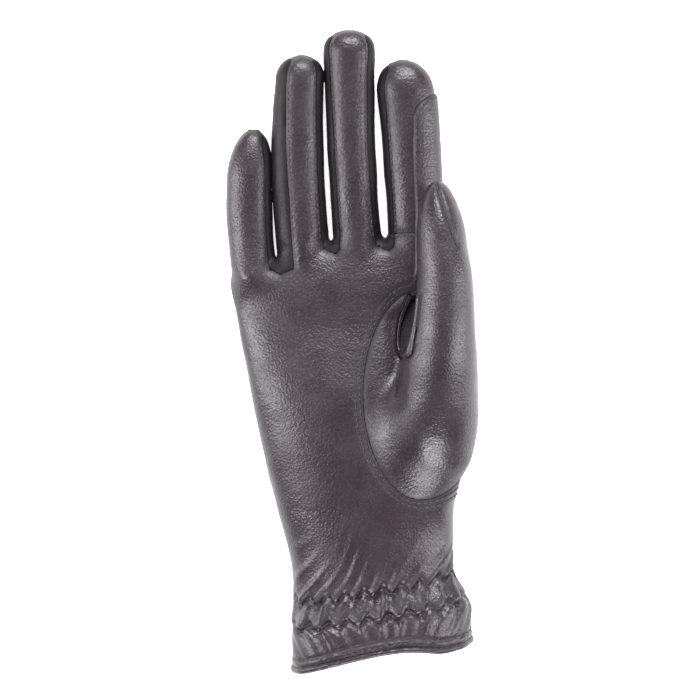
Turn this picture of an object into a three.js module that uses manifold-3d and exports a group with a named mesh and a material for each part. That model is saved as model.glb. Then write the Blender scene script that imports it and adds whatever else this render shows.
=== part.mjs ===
// A riding glove of dark brown leather for the right hand. It lies on its back with the palm up.
// Millimetres. +X points to the thumb side, +Y to the fingertips and +Z out of the palm.
// The origin is in the middle of the glove's box, on the surface that it lies on.

import * as THREE from "three";
import { mergeVertices } from "three/addons/utils/BufferGeometryUtils.js";
import Module from "manifold-3d";

const wasm = await Module();
wasm.setup();

// Driving sizes of the hand and the cuff.
const hand_length = 165; // hem to the crotch of the middle finger
const palm_width = 81; // over the knuckles
const wrist_width = 60;
const cuff_width = 68;
const knuckle_depth = 16.5;
const palm_depth = 28;
const wrist_depth = 31;
const cuff_depth = 35;

// Driving sizes of the leather and the seams.
const leather = 1.2;
const overlay_leather = 1.0;
const seam_gap = 0.3;
const floor_press = 1.0; // how far the rounded back is pressed flat where it lies

// Driving sizes of the hem.
const hem_middle = 9; // height of the hem's middle over its lowest end
const hem_slant = 5.5; // rise of the thumb side end of the hem
const hem_tilt = 3.5; // rise of the back of the hem
const binding_width = 3;
const binding_height = 2.4;

// Driving sizes of the wrist's gathers.
const gather_count = 16;
const gather_depth = 1.2;

// Driving sizes of the thumb and of the oval seam round its root.
const thumb_length = 122; // foot of the root to the tip
const thumb_foot = 64.5; // hem to the foot of the root
const thumb_width = 22;
const thumb_depth = 24;
const thumb_tip_length = 22;
const thumb_clearance = 20.5; // height of the free thumb's underside
const oval_length = 0.6475 * thumb_length; // the seam rings the thumb's root
const oval_inner_width = 22; // from the oval's middle towards the palm
const oval_outer_width = 26; // from the oval's middle round the thumb side

// Driving sizes of the seams between front and back.
const side_seam_height = 7;
const cuff_seam_height = 15;
const fourchette_seam_height = 4.5;

// Driving sizes of the slit's lip at the thumb's crotch.
const lip_width = 1.6;
const lip_height = 1.3;

// Sections of the hand. Along is a share of the hand's length and middle is a share of the palm's
// width from the middle of the knuckles towards the thumb side.
const hand_sections = [
  { along: 0.0, middle: 0.217, width: cuff_width, high: cuff_depth, gather: 0.45 },
  { along: 0.09, middle: 0.215, width: cuff_width * 0.995, high: cuff_depth * 0.98, gather: 0.85 },
  { along: 0.14, middle: 0.198, width: cuff_width * 0.955, high: cuff_depth * 0.95, gather: 0.7 },
  { along: 0.2, middle: 0.175, width: wrist_width, high: wrist_depth, gather: 1.0 },
  { along: 0.265, middle: 0.173, width: wrist_width * 1.013, high: wrist_depth * 0.97, gather: 0.8 },
  { along: 0.39, middle: 0.152, width: palm_width * 0.845, high: palm_depth * 1.03, gather: 0.15 },
  { along: 0.5, middle: 0.128, width: palm_width * 0.92, high: palm_depth, gather: 0 },
  { along: 0.65, middle: 0.089, width: palm_width * 0.971, high: palm_depth * 0.9, gather: 0 },
  { along: 0.8, middle: 0.047, width: palm_width, high: knuckle_depth * 1.2, gather: 0 },
  { along: 0.92, middle: 0.013, width: palm_width * 1.004, high: knuckle_depth * 1.04, gather: 0 },
  { along: 1.0, middle: 0, width: palm_width, high: knuckle_depth * 0.84, gather: 0 },
];

// Line of the finger roots across the hand. Along is a share of the palm's width from its middle
// and rise is a share of the hand's length.
const root_line = [
  { along: -0.5, rise: -0.085 },
  { along: -0.248, rise: -0.052 },
  { along: -0.014, rise: -0.0085 },
  { along: 0.23, rise: 0 },
  { along: 0.5, rise: -0.024 },
];

// Fingers, from the little finger to the index finger. Lengths are in millimetres past the hand.
// Places and widths are shares of the palm's width: at the root, halfway and before the tip.
const fingers = [
  { name: "little", length: 42.5, depth: 14, places: [-0.3735, -0.406, -0.383],
    widths: [0.222, 0.21, 0.205], tip_length: 19, tip_power: 2 },
  { name: "ring", length: 70.5, depth: 16, places: [-0.128, -0.1774, -0.1587],
    widths: [0.26, 0.24, 0.216], tip_length: 9, tip_power: 2 },
  { name: "middle", length: 80, depth: 16.5, places: [0.123, 0.077, 0.0654],
    widths: [0.248, 0.217, 0.246], tip_length: 9.5, tip_power: 2.3 },
  { name: "index", length: 68.7, depth: 16.5, places: [0.378, 0.3595, 0.315],
    widths: [0.255, 0.253, 0.272], tip_length: 13, tip_power: 2 },
];

// Sections of the thumb. Along is a share of its length, middle a share of the palm's width,
// width and high shares of the thumb's own, and low a share of the free thumb's height.
const thumb_sections = [
  { along: 0.0, middle: 0.46, width: 0.7, low: 0.6, high: 0.12 },
  { along: 0.03, middle: 0.44, width: 1.1, low: 0.54, high: 0.3 },
  { along: 0.08, middle: 0.43, width: 1.4, low: 0.44, high: 0.5 },
  { along: 0.14, middle: 0.437, width: 1.52, low: 0.4, high: 0.68 },
  { along: 0.22, middle: 0.452, width: 1.53, low: 0.4, high: 0.87 },
  { along: 0.33, middle: 0.473, width: 1.42, low: 0.44, high: 1.0 },
  { along: 0.44, middle: 0.484, width: 1.29, low: 0.6, high: 1.05 },
  { along: 0.54, middle: 0.5, width: 1.1, low: 0.9, high: 1.03 },
  { along: 0.6, middle: 0.505, width: 1.03, low: 1.0, high: 1.0 },
  { along: 0.7, middle: 0.507, width: 0.95, low: 1.0, high: 0.94 },
  { along: 0.8, middle: 0.494, width: 0.87, low: 0.98, high: 0.86 },
  { along: 1.0, middle: 0.472, width: 0.76, low: 0.95, high: 0.72 },
];

// Seams on both sides of each finger gap, from the gap's foot to the tips. Along is a share of
// the way from the foot to that finger's tip, and inset is how far the seam lies inside the
// finger's side, as a share of the finger's width.
const gap_seams = [
  { left_insets: [0.16, 0.13, 0.13, 0.16], right_insets: [0.28, 0.31, 0.26, 0.2] },
  { left_insets: [0.12, 0.1, 0.1, 0.12], right_insets: [0.13, 0.12, 0.1, 0.07] },
  { left_insets: [0.12, 0.13, 0.13, 0.1], right_insets: [0.1, 0.08, 0.08, 0.12] },
];
const gap_foot_depth = 4.5; // how far each gap's foot lies below the crotch
const crotch_web = 2.4; // how far the fourchettes reach down past the crotch at their full width
const past_tip = 1.5;

// Edge of the panel that is laid over the index finger's outer side. Along is a share of the
// index finger's length past the hand, and place is a share of the palm's width.
const overlay_edge = [
  { along: 0.84, place: 0.5 },
  { along: 0.81, place: 0.47 },
  { along: 0.745, place: 0.39 },
  { along: 0.67, place: 0.362 },
  { along: 0.4, place: 0.361 },
  { along: 0.1, place: 0.371 },
  { along: -0.16, place: 0.368 },
  { along: -0.22, place: 0.357 },
];
const overlay_low = 7.6;
const index_base_seam = 2.2; // from the end of the hand to the seam across the index finger's root

// Line of the slit's lip at the thumb's crotch. Along is a share of the thumb's length and place
// is a share of the palm's width.
const lip_line = [
  { along: 0.648, place: 0.345 },
  { along: 0.62, place: 0.325 },
  { along: 0.57, place: 0.297 },
  { along: 0.5, place: 0.286 },
  { along: 0.458, place: 0.3 },
  { along: 0.454, place: 0.33 },
];

const gather_end = 0.34; // share of the hand's length where the wrist's gathers have run out

// How finely the sections are drawn.
const sides = { cuff: gather_count * 4, hand: gather_count * 2, finger: 12, thumb: 16 };
const squareness = { hand: 2.4, finger: 2.25, thumb: 2.1 };

// Smooth value of a table's column at a place along it, with no overshoot between its rows.
function follow(rows, column, at) {
  const last = rows.length - 1;
  const rising = rows[0].along < rows[last].along ? 1 : -1;
  let i = 0;
  while (i < last - 1 && (rows[i + 1].along - at) * rising < 0) i++;
  const slope = (k) => (rows[k + 1][column] - rows[k][column]) / (rows[k + 1].along - rows[k].along);
  const tangent = (k) => {
    if (k === 0) return slope(0);
    if (k === last) return slope(last - 1);
    const before = slope(k - 1);
    const after = slope(k);
    return before * after <= 0 ? 0 : (2 * before * after) / (before + after);
  };
  const step = rows[i + 1].along - rows[i].along;
  const t = THREE.MathUtils.clamp((at - rows[i].along) / step, 0, 1);
  const from = rows[i][column] * (1 + 2 * t) * (1 - t) ** 2 + tangent(i) * step * t * (1 - t) ** 2;
  return from + rows[i + 1][column] * (3 - 2 * t) * t * t + tangent(i + 1) * step * t * t * (t - 1);
}

// Value of a curve through three values, at the root, halfway and at the tip.
function bend([root, half, tip], at) {
  return root * (2 * at - 1) * (at - 1) + half * 4 * at * (1 - at) + tip * at * (2 * at - 1);
}

// One closed ring of points round a section. It starts at the thumb side and turns to the palm.
function ring(section, grow) {
  const half_width = Math.max(section.width / 2 + grow, 0.05);
  const half_depth = Math.max((section.high - section.low) / 2 + grow, 0.05);
  const middle_z = (section.high + section.low) / 2;
  const points = [];
  for (let i = 0; i < section.sides; i++) {
    const angle = (2 * Math.PI * i) / section.sides;
    const across = Math.cos(angle);
    const up = Math.sin(angle);
    const wave = (section.wave ?? 0) * Math.cos(gather_count * angle);
    const x = Math.sign(across) * Math.abs(across) ** (2 / section.square) * half_width;
    const z = Math.sign(up) * Math.abs(up) ** (2 / section.square) * half_depth;
    const place_x = section.middle + x + wave * across;
    const place_z = middle_z + z + wave * up;
    const lift = section.lift ? section.lift(section, place_x, place_z) : 0;
    points.push([place_x, section.y + lift, place_z]);
  }
  return points;
}

// Triangles between two rings. The first ring has as many points as the second, or twice as many.
function strip(from, to, from_count, to_count) {
  const faces = [];
  for (let i = 0; i < to_count; i++) {
    const next = (i + 1) % to_count;
    if (from_count === to_count) {
      faces.push([from + i, to + i, from + next], [from + next, to + i, to + next]);
    } else {
      const start = from + 2 * i;
      const end = from + ((2 * i + 2) % from_count);
      faces.push([start, to + i, start + 1], [start + 1, to + i, to + next]);
      faces.push([start + 1, to + next, end]);
    }
  }
  return faces;
}

// Triangles over a ring, in rows that join each point on the palm side to the one behind it.
function cover(first, count) {
  const faces = [];
  for (let i = 0; i < count / 2; i++) {
    const behind = first + ((count - i) % count);
    if (i > 0) faces.push([behind, first + i, first + i + 1]);
    if (i < count / 2 - 1) faces.push([behind, first + i + 1, first + count - i - 1]);
  }
  return faces;
}

// Closed surface through a row of rings.
function loft(rings) {
  const points = rings.flat();
  const faces = [];
  let start = 0;
  for (let i = 1; i < rings.length; i++) {
    faces.push(...strip(start, start + rings[i - 1].length, rings[i - 1].length, rings[i].length));
    start += rings[i - 1].length;
  }
  faces.push(...cover(0, rings[0].length));
  faces.push(...cover(start, rings[rings.length - 1].length).map((face) => face.reverse()));
  const geometry = new THREE.BufferGeometry();
  geometry.setAttribute("position", new THREE.Float32BufferAttribute(points.flat(), 3));
  geometry.setIndex(faces.flat());
  return geometry;
}

// Solid of a closed geometry.
function solidOf(geometry) {
  const bare = geometry.clone();
  bare.deleteAttribute("normal");
  bare.deleteAttribute("uv");
  const merged = mergeVertices(bare, 1e-5);
  return new wasm.Manifold(new wasm.Mesh({
    numProp: 3,
    vertProperties: new Float32Array(merged.attributes.position.array),
    triVerts: new Uint32Array(merged.index.array),
  }));
}

// Solid of an outline seen from above, between two heights.
function prism(outline, low, high) {
  const shape = new THREE.Shape(outline.map(([x, y]) => new THREE.Vector2(x, y)));
  const geometry = new THREE.ExtrudeGeometry(shape, { depth: high - low, bevelEnabled: false });
  return solidOf(geometry.translate(0, 0, low));
}

// Solid of an outline seen from the side, drawn in Y and Z, right across the glove.
function sideways(outline) {
  const shape = new THREE.Shape(outline.map(([y, z]) => new THREE.Vector2(y, z)));
  const geometry = new THREE.ExtrudeGeometry(shape, { depth: 4 * palm_width, bevelEnabled: false });
  geometry.translate(0, 0, -2 * palm_width);
  geometry.applyMatrix4(new THREE.Matrix4().set(0, 0, 1, 0, 1, 0, 0, 0, 0, 1, 0, 0, 0, 0, 0, 1));
  return solidOf(geometry);
}

const reach = 2 * hand_length; // further than any piece of the glove

// Rise of the slanted hem at a point of its section.
function hemLift(section, x, z) {
  const across = (x - section.middle) / (section.width / 2);
  const up = (2 * z - section.high - section.low) / (section.high - section.low);
  return hem_slant * across - hem_tilt * up;
}

// How far the hem's slant and the line of the finger roots move a point of the hand along Y.
function handLift(along) {
  const cuff_share = THREE.MathUtils.clamp((0.5 - along) / 0.3, 0, 1);
  const root_share = THREE.MathUtils.clamp((along - 0.72) / 0.28, 0, 1) ** 2;
  return (section, x, z) => cuff_share * hemLift(section, x, z)
    + root_share * hand_length * follow(root_line, "rise", x / palm_width);
}

function handSection(along, grow, narrowing = 1) {
  return {
    y: along * hand_length + hem_middle * THREE.MathUtils.clamp(1 - along / 0.2, 0, 1)
      + 1.5 * grow * THREE.MathUtils.clamp((along - 0.9) / 0.1, 0, 1),
    middle: follow(hand_sections, "middle", along) * palm_width,
    width: follow(hand_sections, "width", along) - (1 - narrowing) * knuckle_depth,
    low: -floor_press + (1 - narrowing) * knuckle_depth * 0.3,
    high: follow(hand_sections, "high", along) - (1 - narrowing) * knuckle_depth * 0.5,
    wave: gather_depth * follow(hand_sections, "gather", along),
    lift: handLift(along),
    square: squareness.hand,
    sides: along < gather_end ? sides.cuff : sides.hand,
  };
}

// The hand and cuff, grown or shrunk all round. The hollow runs on out of the cuff.
function handSolid(grow) {
  const rings = [];
  const cuff_steps = 7;
  const hand_steps = 6;
  for (let i = 0; i < cuff_steps; i++) {
    rings.push(ring(handSection((gather_end * i) / cuff_steps, grow), grow));
  }
  for (let i = 0; i <= hand_steps; i++) {
    rings.push(ring(handSection(gather_end + ((0.98 - gather_end) * i) / hand_steps, grow), grow));
  }
  rings.push(ring(handSection(0.994, grow, 0.9), grow));
  rings.push(ring(handSection(1, grow, 0.6), grow));
  if (grow < 0) {
    rings.unshift(rings[0].map(([x, y, z]) => [x, y - 3 * hem_middle, z]));
  }
  return solidOf(loft(rings));
}

// Middle and width of a finger at a height, with its tip grown by the same as its sides.
function fingerSection(finger, at, taper, grow) {
  const root = 0.9 * hand_length;
  const tip = hand_length + finger.length + grow;
  const share = (at - root) / (tip - root);
  const clamped = THREE.MathUtils.clamp(share, 0, 1);
  const width = bend(finger.widths, clamped) * palm_width * taper;
  const root_share = THREE.MathUtils.clamp(1 - 3 * share, 0, 1) ** 2;
  const depth = THREE.MathUtils.lerp(finger.depth * (1 - 0.12 * clamped), knuckle_depth, root_share);
  return {
    y: at,
    middle: bend(finger.places, clamped) * palm_width,
    width,
    low: -floor_press * taper + finger.depth * 0.32 * (1 - taper),
    high: depth * (0.5 + 0.5 * taper),
    square: squareness.finger,
    sides: sides.finger,
  };
}

// How much of its full width a rounded tip has, at a distance from its end.
function tipTaper(distance, tip_length, power) {
  const share = THREE.MathUtils.clamp(distance / tip_length, 0, 1);
  return (1 - (1 - share) ** power) ** (1 / power);
}

function fingerSolid(finger, grow) {
  const tip = hand_length + finger.length + grow;
  const rings = [ring(fingerSection(finger, 0.86 * hand_length, 0.8, grow), grow)];
  const straight_end = tip - finger.tip_length;
  const straight_steps = 4;
  for (let i = 0; i <= straight_steps; i++) {
    const at = 0.9 * hand_length + ((straight_end - 0.9 * hand_length) * i) / straight_steps;
    rings.push(ring(fingerSection(finger, at, 1, grow), grow));
  }
  for (const share of [0.6, 0.25, 0.06]) {
    const taper = tipTaper(share * finger.tip_length, finger.tip_length, finger.tip_power);
    rings.push(ring(fingerSection(finger, tip - share * finger.tip_length, taper, grow), grow));
  }
  rings.push(ring(fingerSection(finger, tip, 0.06, grow), Math.min(grow, 0)));
  return solidOf(loft(rings));
}

function thumbSection(along, taper, grow) {
  const low = follow(thumb_sections, "low", along) * thumb_clearance;
  const high = thumb_clearance + follow(thumb_sections, "high", along) * thumb_depth;
  const middle_z = (low + high) / 2;
  return {
    y: thumb_foot + along * thumb_length + grow * along,
    middle: follow(thumb_sections, "middle", along) * palm_width,
    width: follow(thumb_sections, "width", along) * thumb_width * taper,
    low: middle_z - (middle_z - low) * (0.25 + 0.75 * taper),
    high: middle_z + (high - middle_z) * (0.1 + 0.9 * taper),
    square: squareness.thumb,
    sides: sides.thumb,
  };
}

function thumbSolid(grow) {
  const rings = [];
  const tip_start = 1 - thumb_tip_length / thumb_length;
  const steps = 11;
  for (let i = 0; i <= steps; i++) rings.push(ring(thumbSection((tip_start * i) / steps, 1, grow), grow));
  for (const share of [0.65, 0.32, 0.09]) {
    const taper = tipTaper(share, 1, 2);
    rings.push(ring(thumbSection(1 - (share * thumb_tip_length) / thumb_length, taper, grow), grow));
  }
  rings.push(ring(thumbSection(1, 0.06, grow), Math.min(grow, 0)));
  return solidOf(loft(rings));
}

// The whole glove as one solid, grown or shrunk all round.
function gloveSolid(grow) {
  let solid = handSolid(grow).add(thumbSolid(grow));
  for (const finger of fingers) solid = solid.add(fingerSolid(finger, grow));
  return overFloor(solid, grow);
}

// What lies over the floor of a solid that is grown or shrunk all round.
function overFloor(solid, grow) {
  const floor = [[-reach, -reach], [reach, -reach], [reach, reach], [-reach, reach]];
  return solid.intersect(prism(floor, Math.max(-grow, 0), reach));
}

// Everything above the seam between front and back, which falls from the cuff to the fingers.
function frontHalf(margin) {
  const seam = [[-reach, cuff_seam_height], [0, cuff_seam_height], [0.85 * hand_length, side_seam_height],
    [reach, side_seam_height]];
  return sideways([...seam.map(([y, z]) => [y, z + margin]), [reach, reach], [-reach, reach]]);
}

// Place of a finger's full side at a height, -1 for the little finger's side and 1 for the thumb's.
function fingerSide(finger, at, side) {
  const section = fingerSection(finger, at, 1, 0);
  return section.middle + (side * section.width) / 2;
}

// Place of the crotch between a finger and the next one.
function crotch(k) {
  const left = fingers[k].places[0] + fingers[k].widths[0] / 2;
  const right = fingers[k + 1].places[0] - fingers[k + 1].widths[0] / 2;
  const share = (left + right) / 2;
  return { x: share * palm_width, y: hand_length * (1 + follow(root_line, "rise", share)) };
}

// Points of the seam on one side of a finger gap, from the crotch to past the fingertip.
function gapSeam(finger, insets, side, start, margin) {
  const tip = hand_length + finger.length;
  const end = tip - 0.35 * finger.tip_length;
  const points = insets.map((inset, i) => {
    const at = start + ((end - start) * i) / (insets.length - 1);
    const taper = tipTaper(tip - at, finger.tip_length, finger.tip_power);
    const section = fingerSection(finger, at, taper, 0);
    return [section.middle + side * (section.width * (0.5 - inset) - margin), at];
  });
  return [...points, [points[points.length - 1][0], tip + past_tip]];
}

// Everything between two fingers' seams, over the seam to the back.
function fingerGap(k, margin) {
  const { x, y } = crotch(k);
  const left = gapSeam(fingers[k], gap_seams[k].left_insets, 1, y - crotch_web, margin);
  const right = gapSeam(fingers[k + 1], gap_seams[k].right_insets, -1, y - crotch_web, margin);
  const longer_side = fingers[k].length > fingers[k + 1].length ? 1 : -1;
  const longer = fingers[longer_side > 0 ? k : k + 1];
  const between = [right, left].map((seam) => {
    const at = seam[seam.length - 1][1];
    return [fingerSide(longer, at, longer_side) + longer_side * past_tip, at];
  });
  const outline = [[x, y - gap_foot_depth - margin], ...right, ...between, ...left.reverse()];
  return prism(outline, fourchette_seam_height - margin, thumb_clearance - 0.5);
}

// Everything over the thumb's root inside its oval seam, and the free thumb.
function thumbRegion(margin) {
  const oval_middle_x = 0.4 * palm_width;
  const oval_middle_y = thumb_foot + oval_length / 2 + 2;
  const points = 40;
  const outline = [];
  for (let i = 0; i < points; i++) {
    const angle = (2 * Math.PI * i) / points;
    const half_width = (Math.cos(angle) > 0 ? oval_outer_width : oval_inner_width) + margin;
    const half_length = oval_length / 2 + margin;
    outline.push([oval_middle_x + half_width * Math.cos(angle), oval_middle_y + half_length * Math.sin(angle)]);
  }
  const root = prism(outline, 0, reach).intersect(frontHalf(seam_gap / 2 - margin));
  const free_start = thumb_foot + 0.5 * thumb_length;
  const free_left = 0.3 * palm_width;
  const free = prism([[free_left, free_start], [reach, free_start], [reach, reach], [free_left, reach]],
    thumb_clearance - 0.4 - margin, reach);
  return root.add(free);
}

// Everything past the seam across the index finger's root, on the front of that finger.
function indexRegion(margin) {
  const start = hand_length + index_base_seam - margin;
  const end = hand_length + fingers[3].length + past_tip;
  const left = [1, 0.5, 0].map((share) => {
    const at = start + (end - start) * share;
    return [(fingerSide(fingers[2], at, 1) + fingerSide(fingers[3], at, -1)) / 2, at];
  });
  return prism([[reach, start], [reach, end], ...left], 0, thumb_clearance - 0.4);
}

// The leather laid over a surface, from a gap to its own thickness over that.
function layer(surface, thickness) {
  return overFloor(surface(seam_gap + thickness), 0).subtract(surface(seam_gap));
}

// Strip of even width along a line of points seen from above.
function stripOutline(line, width) {
  const offset = (side) => line.map(([x, y], i) => {
    const before = line[Math.max(i - 1, 0)];
    const after = line[Math.min(i + 1, line.length - 1)];
    const length = Math.hypot(after[0] - before[0], after[1] - before[1]);
    const shift = (side * width) / 2 / length;
    return [x - (after[1] - before[1]) * shift, y + (after[0] - before[0]) * shift];
  });
  return [...offset(1), ...offset(-1).reverse()];
}

// Rolled binding that closes the hem, a ring of leather just under the cuff's end.
function bindingSolid() {
  const section = handSection(0, 0);
  const hem = ring(section, -leather / 2);
  const corners = 6;
  const points = [];
  const faces = [];
  hem.forEach(([x, , z], i) => {
    const angle = (2 * Math.PI * i) / hem.length;
    for (let j = 0; j < corners; j++) {
      const turn = (2 * Math.PI * (j + 0.5)) / corners;
      const out = (Math.cos(turn) * binding_width) / 2;
      const place_x = x + out * Math.cos(angle);
      const place_z = Math.max(z, leather / 2) + out * Math.sin(angle);
      const below = seam_gap + (binding_height * (1 - Math.sin(turn))) / 2;
      points.push([place_x, section.y + hemLift(section, place_x, place_z) - below, place_z]);
      const next_i = ((i + 1) % hem.length) * corners;
      const next_j = (j + 1) % corners;
      faces.push([i * corners + j, i * corners + next_j, next_i + j]);
      faces.push([next_i + j, i * corners + next_j, next_i + next_j]);
    }
  });
  const geometry = new THREE.BufferGeometry();
  geometry.setAttribute("position", new THREE.Float32BufferAttribute(points.flat(), 3));
  geometry.setIndex(faces.flat());
  return overFloor(solidOf(geometry), 0);
}

const material = (color, roughness) => new THREE.MeshStandardMaterial({ color, roughness, metalness: 0 });
const materials = {
  leather: () => material(0x50474d, 0.45),
  side_leather: () => material(0x4a3d3d, 0.5),
  binding: () => material(0x463c42, 0.5),
};

// Mesh of a solid.
function meshOf(name, solid, look) {
  const mesh = solid.getMesh();
  const geometry = new THREE.BufferGeometry();
  geometry.setAttribute("position", new THREE.Float32BufferAttribute(mesh.vertProperties, 3));
  geometry.setIndex(Array.from(mesh.triVerts));
  const result = new THREE.Mesh(geometry, look());
  result.name = name;
  return result;
}

const half_gap = seam_gap / 2;
const shell = gloveSolid(0).subtract(gloveSolid(-leather));
const gaps = gap_seams.map((seams, k) => fingerGap(k, half_gap));
const backless = shell.intersect(frontHalf(half_gap));
const front = gaps.reduce((solid, cut) => solid.subtract(cut), backless);
const palm = front.subtract(thumbRegion(half_gap)).subtract(indexRegion(half_gap));
const index_front = front.subtract(thumbRegion(half_gap)).intersect(indexRegion(-half_gap));
const back = gaps.reduce((solid, cut) => solid.subtract(cut), shell.subtract(frontHalf(-half_gap)));
const thumb = shell.intersect(thumbRegion(-half_gap));

const index_length = fingers[3].length;
const overlay_line = overlay_edge.map(({ along, place }) =>
  [place * palm_width, hand_length + along * index_length]);
const overlay_outline = [...overlay_line, [palm_width, overlay_line[overlay_line.length - 1][1]],
  [palm_width, overlay_line[0][1]]];
const overlay_space = prism(overlay_outline, overlay_low, thumb_clearance - 0.4);
const underOverlay = (grow) => handSolid(grow).add(fingerSolid(fingers[3], grow));
const overlay = layer(underOverlay, overlay_leather).intersect(overlay_space);

const lip_points = lip_line.map(({ along, place }) =>
  [place * palm_width, thumb_foot + along * thumb_length]);
const lip_space = prism(stripOutline(lip_points, lip_width), side_seam_height, thumb_clearance + lip_height);
const underLip = (grow) => handSolid(grow).add(thumbSolid(grow));
const lip = layer(underLip, lip_height).intersect(lip_space);

const glove = new THREE.Group();
glove.add(meshOf("palm_panel", palm, materials.leather));
glove.add(meshOf("back_panel", back, materials.leather));
glove.add(meshOf("index_front", index_front, materials.leather));
["little_ring", "ring_middle", "middle_index"].forEach((name, k) => {
  glove.add(meshOf(`fourchette_${name}`, shell.intersect(fingerGap(k, -half_gap)), materials.side_leather));
});
glove.add(meshOf("thumb_panel", thumb, materials.leather));
glove.add(meshOf("rein_panel", overlay, materials.leather));
glove.add(meshOf("thumb_slit_lip", lip, materials.binding));
glove.add(meshOf("hem_binding", bindingSolid(), materials.binding));

// Stand the glove over the middle of its own box.
const box = new THREE.Box3().setFromObject(glove);
const middle = box.getCenter(new THREE.Vector3());
glove.position.set(-middle.x, -middle.y, -box.min.z);

export default glove;
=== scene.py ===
"""A riding glove of dark brown leather, lying on its back with the palm up, dressed over its CAD frame."""

import functools
import math

import bmesh
import bpy
import numpy as np
from bpy.props import FloatProperty, FloatVectorProperty, PointerProperty
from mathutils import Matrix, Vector
from mathutils.bvhtree import BVHTree
from mathutils.kdtree import KDTree


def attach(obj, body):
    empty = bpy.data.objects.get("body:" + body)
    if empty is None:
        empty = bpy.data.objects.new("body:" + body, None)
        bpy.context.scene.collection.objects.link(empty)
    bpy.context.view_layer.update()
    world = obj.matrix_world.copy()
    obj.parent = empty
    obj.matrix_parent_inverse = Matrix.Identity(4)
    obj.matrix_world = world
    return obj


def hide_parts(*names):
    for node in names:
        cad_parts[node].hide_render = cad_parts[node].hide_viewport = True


bl_info = {
    "name": "Riding Glove",
    "version": (1, 0, 0),
    "blender": (4, 5, 0),
    "location": "3D View > Sidebar > Riding Glove",
    "description": "Leather panels, seams, stitches and gathered wrist of a riding glove",
    "category": "Object",
}

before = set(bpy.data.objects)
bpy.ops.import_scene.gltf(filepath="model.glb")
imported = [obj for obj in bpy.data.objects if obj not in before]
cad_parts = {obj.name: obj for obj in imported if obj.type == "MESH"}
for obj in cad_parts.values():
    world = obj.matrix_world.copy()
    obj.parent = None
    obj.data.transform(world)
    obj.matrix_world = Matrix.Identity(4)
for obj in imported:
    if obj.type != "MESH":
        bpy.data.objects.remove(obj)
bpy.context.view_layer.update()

# Everything is shaped in millimetres from the middle of the knuckles and the lowest point of the hem,
# and put in the frame's place and in metres at the end.
frame_shift = np.array([-6.2816, -122.2909, 0.0])

hand_length = 165.0
palm_width = 81.0
knuckle_depth = 16.5
floor_press = 1.0
hem_middle = 9.0
hem_slant = 5.5
hem_tilt = 3.5
thumb_length = 122.0
thumb_foot = 64.5
thumb_width = 22.0
thumb_depth = 24.0
thumb_tip_length = 22.0
thumb_clearance = 20.5
oval_length = 79.0
oval_inner_width = 22.0
oval_outer_width = 26.0
oval_middle = (0.4 * palm_width, thumb_foot + oval_length / 2 + 2)
seam_height_points = ([0.0, 0.85 * hand_length], [15.0, 7.0])
fourchette_seam_height = 4.5
gap_foot_depth = 4.5
crotch_web = 2.4
past_tip = 1.5
index_base_seam = 2.2
overlay_low = 7.6
overlay_high = 18.4
panel_gap = 0.1
hem_overrun = 6.0
slit_depth = 3.5
finger_fullness = 0.9
finger_root = 0.9 * hand_length
gather_pitch = 7.5
cuff_reach = 120.0  # how many millimetres over the hem a share of 1 would be, near the cuff
wrist_width, wrist_high = 59.0, 25.0
fold_height, puff_height, pinch_depth = 0.8, 0.35, 1.15  # the gathers' folds, between and in the zigzag rows
finger_thinning = 0.12  # share of its depth that a finger loses towards its tip
tube_start, finger_start = 0.86 * hand_length, 0.885 * hand_length  # hidden in the hand

# How far the leather is drawn in by the thumb's seam, the oval's rows, the hem's edge and the hem's upper row.
closing_depth, row_depth, hem_edge_depth, hem_row_depth = 0.7, 0.3, 0.45, 0.3
hem_roll = 0.15  # how far the hem stands out between its two rows

# The laid-on pieces: heights over the skin, and width and height of their sections. The binding's
# section also has a count of corners and a squareness.
overlay_edge_height, overlay_height, overlay_under = 0.25, 0.85, 0.08
lip_section, lip_over = (1.35, 1.3), 0.55
bead_section, bead_inwards, bead_past_hem = (2.2, 2.7, 16, 2.2), 0.35, 0.75

# How square the sections are: 2 is an ellipse, and more is squarer.
hand_square, finger_square, thumb_square = 2.4, 2.25, 2.1

# Sections of the hand, in the frame's terms: shares of the hand's length and of the palm's width,
# and widths and heights in millimetres.
hand_sections = {
    "along": [0, 0.09, 0.14, 0.2, 0.265, 0.39, 0.5, 0.65, 0.8, 0.92, 1],
    "middle": [0.217, 0.215, 0.198, 0.175, 0.173, 0.152, 0.128, 0.089, 0.047, 0.013, 0],
    "width": [68, 67.66, 64.94, 60, 60.78, 68.45, 74.52, 78.65, 81, 81.32, 81],
    "high": [35, 34.3, 33.25, 31, 30.07, 28.84, 28, 25.2, 19.8, 17.16, 13.86],
}
# Height of the finger roots over or under the knuckle line, in the same shares.
root_line = {"along": [-0.5, -0.248, -0.014, 0.23, 0.5], "rise": [-0.085, -0.052, -0.0085, 0, -0.024]}
# Little, ring, middle and index finger. The places and widths are shares of the palm's width, at the
# root, halfway and at the tip. The tip's power says how full its rounding is.
fingers = [
    {"length": 42.5, "depth": 14, "places": [-0.3735, -0.406, -0.383],
     "widths": [0.222, 0.21, 0.205], "tip_length": 19, "tip_power": 2},
    {"length": 70.5, "depth": 16, "places": [-0.128, -0.1774, -0.1587],
     "widths": [0.26, 0.24, 0.216], "tip_length": 9, "tip_power": 2},
    {"length": 80, "depth": 16.5, "places": [0.123, 0.077, 0.0654],
     "widths": [0.248, 0.217, 0.246], "tip_length": 9.5, "tip_power": 2.3},
    {"length": 68.7, "depth": 16.5, "places": [0.378, 0.3595, 0.315],
     "widths": [0.255, 0.253, 0.272], "tip_length": 13, "tip_power": 2},
]
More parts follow.
